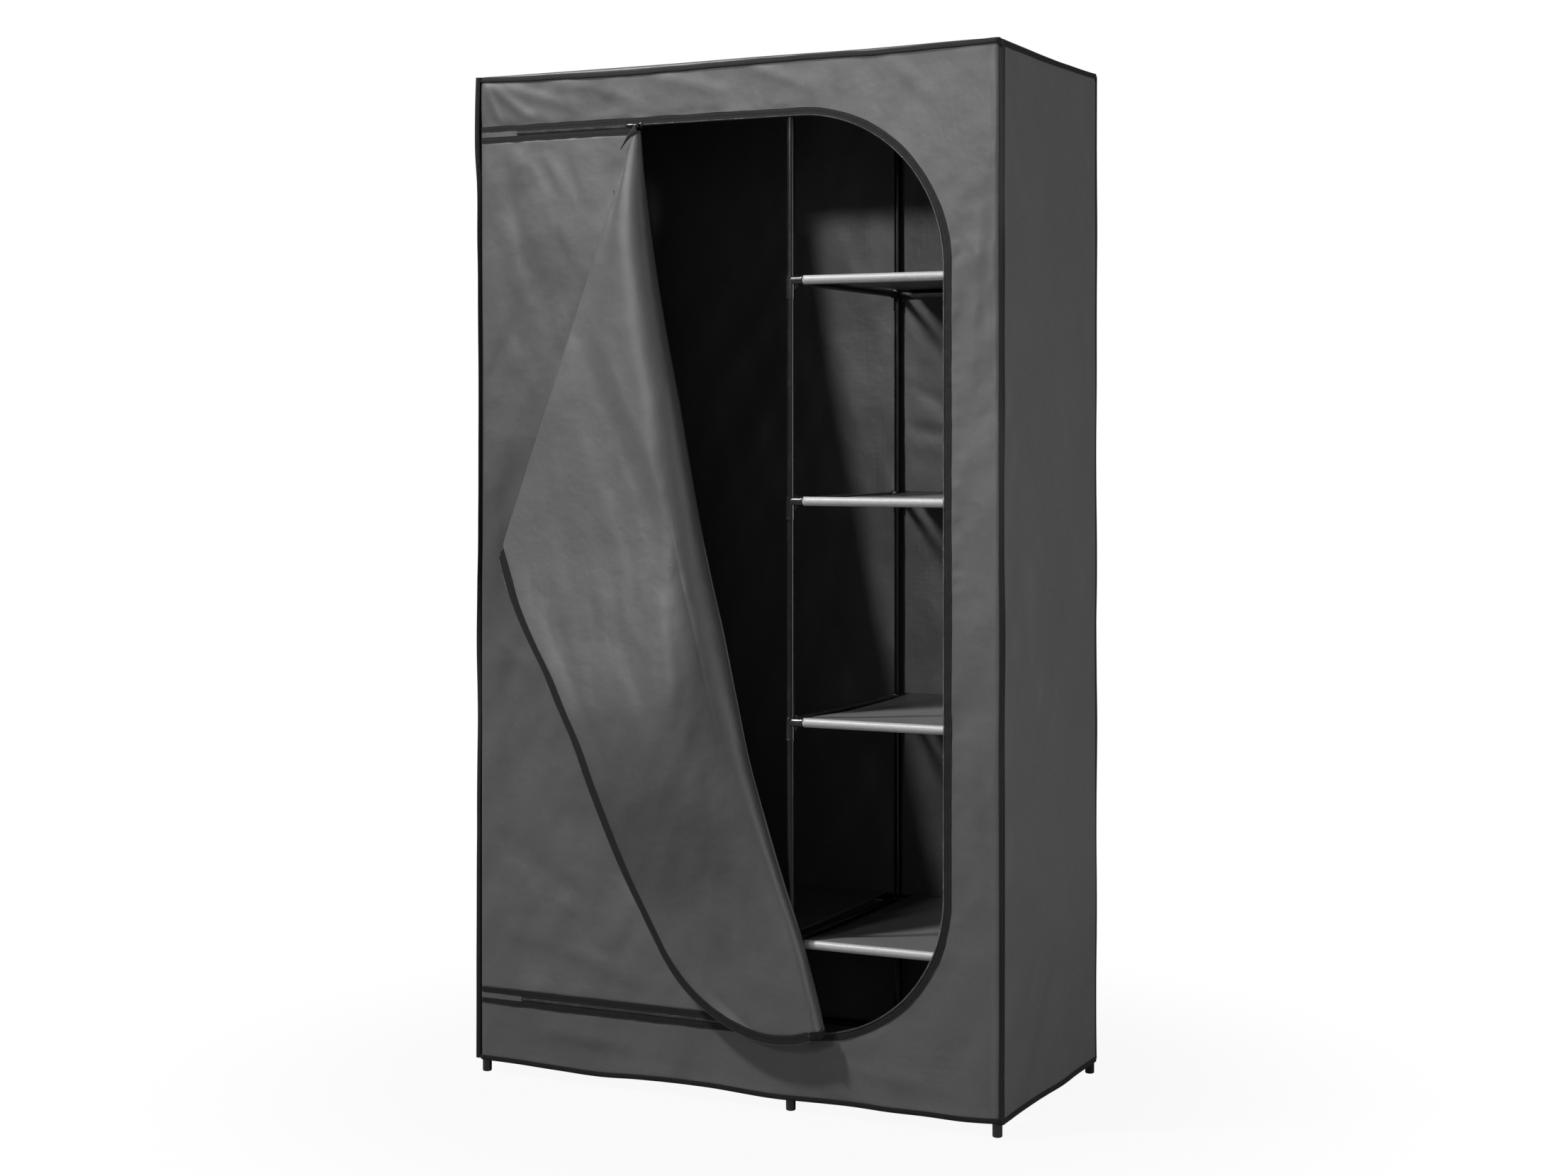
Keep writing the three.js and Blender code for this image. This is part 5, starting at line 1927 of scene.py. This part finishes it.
@dataclass
class Frame:
    """Steel tubes in moulded connectors."""

    finishes: Finishes
    radius: float = 6 * MM
    bore: float = 6.1 * MM
    connector: float = 7.2 * MM
    rim: float = 0.5 * MM
    reach: float = 21 * MM
    drop: float = 27 * MM
    cap: float = 7 * MM
    sides: int = 28

    def nodes(self, start: str, part: str = "") -> list[str]:
        """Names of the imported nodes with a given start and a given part."""
        return [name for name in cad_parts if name.startswith(start) and part in name]

    def tubes(self) -> None:
        """Make the rails and bars, with small chamfers at their ends."""
        r, chamfer = self.radius, 0.6 * MM
        for group, nodes in (
            ("front_tubes", self.nodes("rail_", "_front_")),
            ("back_tubes", self.nodes("rail_", "_back_")),
            ("side_tubes", self.nodes("bar_")),
        ):
            geometry = Geometry()
            for node in nodes:
                low, high = node_box(node)
                size = np.array(high - low)
                half = size.max() / 2
                side = [(r, half - chamfer), (r - chamfer, half), (0, half)]
                profile = [(radius, -at) for radius, at in side[::-1]] + side
                geometry.turn(profile, node_middle(node), np.eye(3)[size.argmax()], self.sides)
            dress(geometry.build(group, 40), self.finishes.tube, nodes=nodes)

    def branch(self, geometry: Geometry, centre: Array, way: Array) -> None:
        """Add one branch of a connector with its rim and web.

        Args:
            geometry: Where it goes.
            centre: Where the connector's tubes meet.
            way: Direction of the branch.
        """
        r, wide, end = self.connector - 0.2 * MM, self.connector + self.rim, self.reach
        profile = [
            (0, 0), (r, 0), (r, end - 3 * MM), (wide, end - 2.4 * MM), (wide, end - 0.4 * MM),
            (wide - 0.4 * MM, end), (self.bore, end), (self.bore, end - 1 * MM), (0, end - 1 * MM),
        ]
        geometry.turn(profile, centre, way, self.sides)
        angle = np.linspace(0, math.pi / 2, 9)
        curve = zip(16 * MM - 9 * MM * np.sin(angle), -6.5 * MM - 11 * MM * (1 - np.cos(angle)))
        points = [(0.0, 0.0), (16 * MM, 0.0), *curve, (6.0 * MM, -17.5 * MM), (0.0, -17.5 * MM)]
        side = np.cross(way, (0, 0, 1.2 * MM))
        flat = np.array([centre + way * x + np.array((0, 0, z)) for x, z in points])
        n = len(points)
        faces = [tuple(range(n)), tuple(reversed(range(n, 2 * n)))]
        faces += [(i, i + n, (i + 1) % n + n, (i + 1) % n) for i in range(n)]
        geometry.add(np.concatenate([flat + side, flat - side]), faces)

    def posts(self) -> None:
        """Make the posts, their connectors and their feet."""
        heights = sorted({round(float(node_middle(name)[2]), 5) for name in self.nodes("rail_")})
        for row, sign in (("front", -1), ("back", 1)):
            y = node_middle(self.nodes("rail_", f"_{row}_")[0])[1]
            for column in ("left", "middle", "right"):
                node = f"post_{row}_{column}"
                low, high = node_box(node)
                aside = {"left": low.x + self.connector, "right": high.x - self.connector}
                x = aside.get(column, (low.x + high.x) / 2)
                start, end = 6 * MM, high.z - 8 * MM
                profile = [(0, start), (self.radius, start), (self.radius, end), (0, end)]
                tube = Geometry().turn(profile, (x, y, 0), (0, 0, 1), self.sides)
                dress(tube.build(f"{node}_tube", 40), self.finishes.tube, nodes=[node])
                joint = Geometry()
                for height in heights:
                    level = self.level_of(height)
                    if column != "left" or self.has_left(level):
                        self.connector_at(joint, np.array((x, y, height)), column, sign, level)
                dress(joint.build(f"{node}_connectors", 35), self.finishes.connector)

    def level_of(self, height: float) -> str:
        """Name of the level at a height."""
        near = [n for n in self.nodes("rail_", "_front_right") if abs(node_middle(n)[2] - height) < 2 * MM]
        return near[0].removeprefix("rail_").removesuffix("_front_right") if near else ""

    def has_left(self, level: str) -> bool:
        """Whether a level has tubes in the left bay."""
        return f"rail_{level}_front_left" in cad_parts

    def connector_at(self, geometry: Geometry, centre: Array, column: str, sign: int, level: str) -> None:
        """Add one connector with the branches of its place.

        Args:
            geometry: Where it goes.
            centre: Where its tubes meet.
            column: The post's column: left, middle or right.
            sign: 1 for the back row and -1 for the front row.
            level: Name of its level.
        """
        r, wide, low, foot = self.connector, self.connector + self.rim, -self.drop, -centre[2]
        skirt = [(0, low), (self.bore, low), (wide, low), (wide, low + 2 * MM), (r, low + 2.6 * MM)]
        cap = [(r, self.cap - 0.6 * MM), (r - 0.5 * MM, self.cap), (self.radius, self.cap), (0, self.cap)]
        if level == "base":
            skirt = [(0, foot), (r - 2 * MM, foot), (r - 0.6 * MM, foot + 0.6 * MM), (r, foot + 2 * MM)]
        elif level == "top":
            cap = [(r, 5.6 * MM), (r - 0.7 * MM, 6.7 * MM), (r - 2.2 * MM, 7.1 * MM), (0, 7.1 * MM)]
        geometry.turn(skirt + cap, centre, (0, 0, 1), self.sides)
        ways = []
        if column == "right" or (column == "middle" and self.has_left(level)):
            ways.append((-1, 0, 0))
        if column != "right":
            ways.append((1, 0, 0))
        if column != "middle" or level != "base":
            ways.append((0, -sign, 0))
        for way in ways:
            self.branch(geometry, centre, np.array(way, float))

    def hanging(self) -> None:
        """Make the hanging rail with its collars."""
        low, high = node_box("hanging_rail")
        y, z = (low.y + high.y) / 2, low.z + self.connector - 0.3 * MM
        r, c, length = self.radius, self.connector, high.x - low.x
        profile = [(0, 0), (r, 0), (r, length), (0, length)]
        tube = Geometry().turn(profile, (low.x, y, z), (1, 0, 0), self.sides)
        dress(tube.build("hanging_tube", 40), self.finishes.tube, nodes=["hanging_rail"])
        sleeve = [(0, 0), (c - 0.6 * MM, 0), (c, 0.6 * MM), (c, 26 * MM)]
        sleeve += [(c - 0.5 * MM, 28.2 * MM), (0, 28.2 * MM)]
        end = [(c, 12.4 * MM), (c - 0.5 * MM, 13 * MM), (0, 13 * MM)]
        collar = [(radius, -at) for radius, at in end[::-1]] + end
        ends = Geometry()
        for x, way in ((low.x, 1), (high.x, -1)):
            ends.turn(sleeve, (x, y, z), (way, 0, 0), self.sides)
            ends.turn(collar, (x + way * c, y, z + 12.6 * MM), (0, 1, 0), self.sides)
        dress(ends.build("hanging_collars", 40), self.finishes.connector)

    def make(self) -> None:
        """Make the whole frame."""
        self.tubes()
        self.posts()
        self.hanging()


@dataclass
class Shelves:
    """Shelf cloths with a tunnel round the rail at each end."""

    finishes: Finishes
    radius: float = 6.9 * MM
    thickness: float = 0.8 * MM
    sag: float = 4 * MM

    def cloth(self, node: str, seed: float) -> None:
        """Make one shelf cloth in its node's place, with a given stretch of noise.

        Args:
            node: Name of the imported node.
            seed: Which part of the noise is used.
        """
        low, high = node_box(node)
        outer, r = 7.3 * MM, self.radius
        front, back, z = low.y + outer, high.y - outer, low.z + outer
        share = np.linspace(0.04, 0.96, 40)
        near, far = np.radians(np.linspace(-100, -265, 22)), np.radians(np.linspace(85, -80, 22))
        lip = np.array([(17 * MM, -1.8 * MM), (12 * MM, -3.5 * MM)])
        top = r - self.sag * (1 - (2 * share - 1) ** 2) - 0.2 * MM
        section = np.concatenate([
            (front, 0) + lip,
            np.stack([front + r * np.cos(near), r * np.sin(near)], axis=1),
            np.stack([front + (back - front) * share, top], axis=1),
            np.stack([back + r * np.cos(far), r * np.sin(far)], axis=1),
            (back, 0) + lip[::-1] * (-1, 1),
        ])
        x = np.linspace(low.x, high.x, 60)
        grid = spots(x[:, None], section[None, :, 0], z + section[None, :, 1])
        middle, half = (front + back) / 2, (back - front) / 2
        free = np.clip(1 - np.abs((grid[..., 1] - middle) / half) ** 4, 0, 1)
        grid[..., 2] += 1.2 * MM * free * swell(grid[..., 0], grid[..., 1], (0.12, 0.16), seed)
        length = walked(section)
        away = unit(grid - (0, middle, z - 1.0))
        piece = Geometry().shell(grid, self.thickness, away, laid_out(x, length))
        piece = piece.build(node.replace("shelf_cloth", "shelf"), None)
        dress(piece, self.finishes.shelf, nodes=[node])

    def make(self) -> None:
        """Make every shelf cloth."""
        for i, node in enumerate(sorted(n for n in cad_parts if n.startswith("shelf_cloth"))):
            self.cloth(node, 111 + i)


@dataclass
class Pulls:
    """The zip's sliders and their pulls."""

    finishes: Finishes

    def make(self) -> None:
        """Make both sliders with their pulls."""
        self.slider("top", Body.TOP_SLIDER)
        self.pull("top", Body.TOP_PULL)
        self.slider("bottom", Body.BOTTOM_SLIDER)
        self.pull("bottom", Body.BOTTOM_PULL)

    def slider(self, name: str, body: Body) -> None:
        """Make one slider: a pinched plate and the loop that holds its pull.

        Args:
            name: Which zip it runs on.
            body: The body that it rides on.
        """
        low, high = node_box(f"zip_slider_{name}")
        centre, back, count = node_middle(f"zip_slider_{name}"), high.y, 14
        share = np.linspace(0, 1, count)
        half = 2.6 * MM + 1.9 * MM * smooth(share, 0.1, 0.75) - 0.9 * MM * smooth(share, 0.85, 1)
        at_end = (share == 0) | (share == 1)
        path = spots(np.linspace(low.x, high.x, count), back - 1.3 * MM, centre[2])
        path[0, 0] += 0.3 * MM
        side = spots(0, 0, half * np.where(at_end, 0.75, 1))
        up = spots(0, -1.25 * MM * np.where(at_end, 0.6, 1), 0)
        geometry = Geometry().sweep(path, side, up, round_bar(1, 1))
        angle = np.linspace(0, math.pi, 12)
        out = np.tile((0, 0, 1.0), (12, 1))
        for ear in (-3.4 * MM, 3.4 * MM):
            x, y = centre[0] + 2.0 * MM * np.cos(angle), back - 2.2 * MM - 4.4 * MM * np.sin(angle)
            loop = spots(x, y, centre[2] + ear)
            geometry.sweep(loop, out, np.cross(tangents(loop), out), round_bar(0.6 * MM, 0.5 * MM, 2))
        pin = [(0, -4 * MM), (0.8 * MM, -4 * MM), (0.8 * MM, 4 * MM), (0, 4 * MM)]
        geometry.turn(pin, (centre[0], back - 4.9 * MM, centre[2]), (0, 0, 1), 14)
        piece = geometry.build(f"slider_{name}", 40)
        dress(piece, self.finishes.enamel, body, [f"zip_slider_{name}"])

    def pull(self, name: str, body: Body) -> None:
        """Make one pull: a tab with an eye and a waist.

        Args:
            name: Which zip it hangs on.
            body: The body that it rides on.
        """
        low, high = node_box(f"zip_pull_{name}")
        y, z = node_middle(f"zip_pull_{name}")[1:]
        eye, bore, outer, tall = high.x - 2.1 * MM, 1.1 * MM, 2.0 * MM, 2.5 * MM
        profile = [(bore, -tall), (outer, -tall), (outer, tall), (bore, tall), (bore, -tall)]
        geometry = Geometry().turn(profile, (eye, y, z), (0, 0, 1), 20)
        share = np.linspace(0, 1, 16)
        half = 2.4 * MM - 0.7 * MM * np.exp(-(((share - 0.18) / 0.12) ** 2))
        half = half - 1.2 * MM * smooth(share, 0.93, 1)
        path = spots(np.linspace(eye - 1.7 * MM, low.x, 16), y, z)
        geometry.sweep(path, spots(0, 0, half), spots(0, -0.6 * MM, 0 * share), round_bar(1, 1, 2))
        dress(geometry.build(f"pull_{name}", 40), self.finishes.enamel, body, [f"zip_pull_{name}"])


@dataclass
class Stage:
    """Floor, light and camera."""

    camera_place: tuple[float, float, float] = (1.7194, -3.5336, 0.9983)
    turn: float = 0.453
    focal_share: float = 3549.3 / 2212
    horizon_drop: float = -(829.5 - 612.8) / 2212
    sensor: float = 36
    floor_radius: float = 9.0
    floor_sides: int = 48
    around: float = 0.12
    # Name, place, width, power in watts, aim and spread in degrees of each lamp
    lamps: tuple[tuple, ...] = (
        ("key", (-1.33, -5.20, 2.88), 0.55, 3.5, (0.12, -0.2, 1.05), 28),
        ("high", (-3.30, -3.00, 5.95), 0.62, 640, (0.0, -0.2, 0.8), 180),
        ("side", (3.2, -0.15, 1.0), 2.0, 54, (0.43, 0.0, 0.9), 180),
        ("fill", (2.2, -4.6, 1.6), 1.6, 3, (0.0, 0.0, 0.8), 120),
    )

    def floor(self) -> None:
        """Make the floor."""
        count = self.floor_sides
        rim = ring(self.floor_radius, count)
        points = np.concatenate([spots(rim[:, 0], rim[:, 1], 0), [(0, 0, 0)]])
        faces = [(i, (i + 1) % count, count) for i in range(count)]
        piece = Geometry().add(points, faces).build("floor", None)
        piece.data.materials.append(StageFinish().build())

    def light(self) -> None:
        """Hang the soft lamps."""
        for name, place, size, power, aim, spread_angle in self.lamps:
            light = bpy.data.lights.new(name, "AREA")
            light.shape = "DISK"
            light.size = size
            light.energy = power
            light.spread = math.radians(spread_angle)
            lamp = placed(name, light)
            lamp.location = place
            lamp.rotation_euler = (Vector(aim) - Vector(place)).to_track_quat("-Z", "Y").to_euler()

    def world(self) -> None:
        """Light the scene from all round, and show white to the camera."""
        world = bpy.data.worlds.new("studio")
        world.use_nodes = True
        tree = world.node_tree
        tree.nodes.clear()
        mixed = tree.nodes.new("ShaderNodeMixShader")
        for entry, strength in ((1, self.around), (2, 1.0)):
            light = tree.nodes.new("ShaderNodeBackground")
            light.inputs["Color"].default_value = (1, 1, 1, 1)
            light.inputs["Strength"].default_value = strength
            tree.links.new(light.outputs[0], mixed.inputs[entry])
        path = tree.nodes.new("ShaderNodeLightPath")
        tree.links.new(path.outputs["Is Camera Ray"], mixed.inputs[0])
        tree.links.new(mixed.outputs[0], tree.nodes.new("ShaderNodeOutputWorld").inputs[0])
        bpy.context.scene.world = world

    def camera(self) -> None:
        """Set the camera where the photograph was taken from."""
        data = bpy.data.cameras.new("camera")
        data.sensor_fit = "HORIZONTAL"
        data.sensor_width = self.sensor
        data.lens = self.sensor * self.focal_share
        data.shift_y = self.horizon_drop
        data.clip_end = 50
        camera = placed("camera", data)
        camera.location = self.camera_place
        camera.rotation_euler = (math.pi / 2, 0, self.turn)
        bpy.context.scene.camera = camera

    def make(self) -> None:
        """Set the whole stage."""
        self.floor()
        self.world()
        self.light()
        self.camera()
        bpy.context.scene.view_settings.view_transform = "Standard"


def main() -> None:
    """Build the wardrobe's pieces in order."""
    logging.basicConfig(level=logging.INFO, format="%(name)s: %(message)s")
    Stage().make()
    finishes = Finishes()
    shape = CoverShape()
    zip_line = ZipLine()
    plane = shape.front + 0.5 * MM
    fold = FoldLine(
        axis_top=np.array([-150 * MM, plane - 4 * MM, zip_line.top]),
        axis_bottom=np.array([158 * MM, plane - 16 * MM, zip_line.bottom]),
    )
    Frame(finishes).make()
    Shelves(finishes).make()
    front = Cover(shape, zip_line, finishes).make()
    binding = Bindings(shape, finishes).make()
    door = Door(shape, zip_line, fold, finishes)
    cloth, corner = door.make()
    zips = Zips(shape, zip_line, fold, door, finishes).make()
    Pulls(finishes).make()


if __name__ == "__main__":
    main()
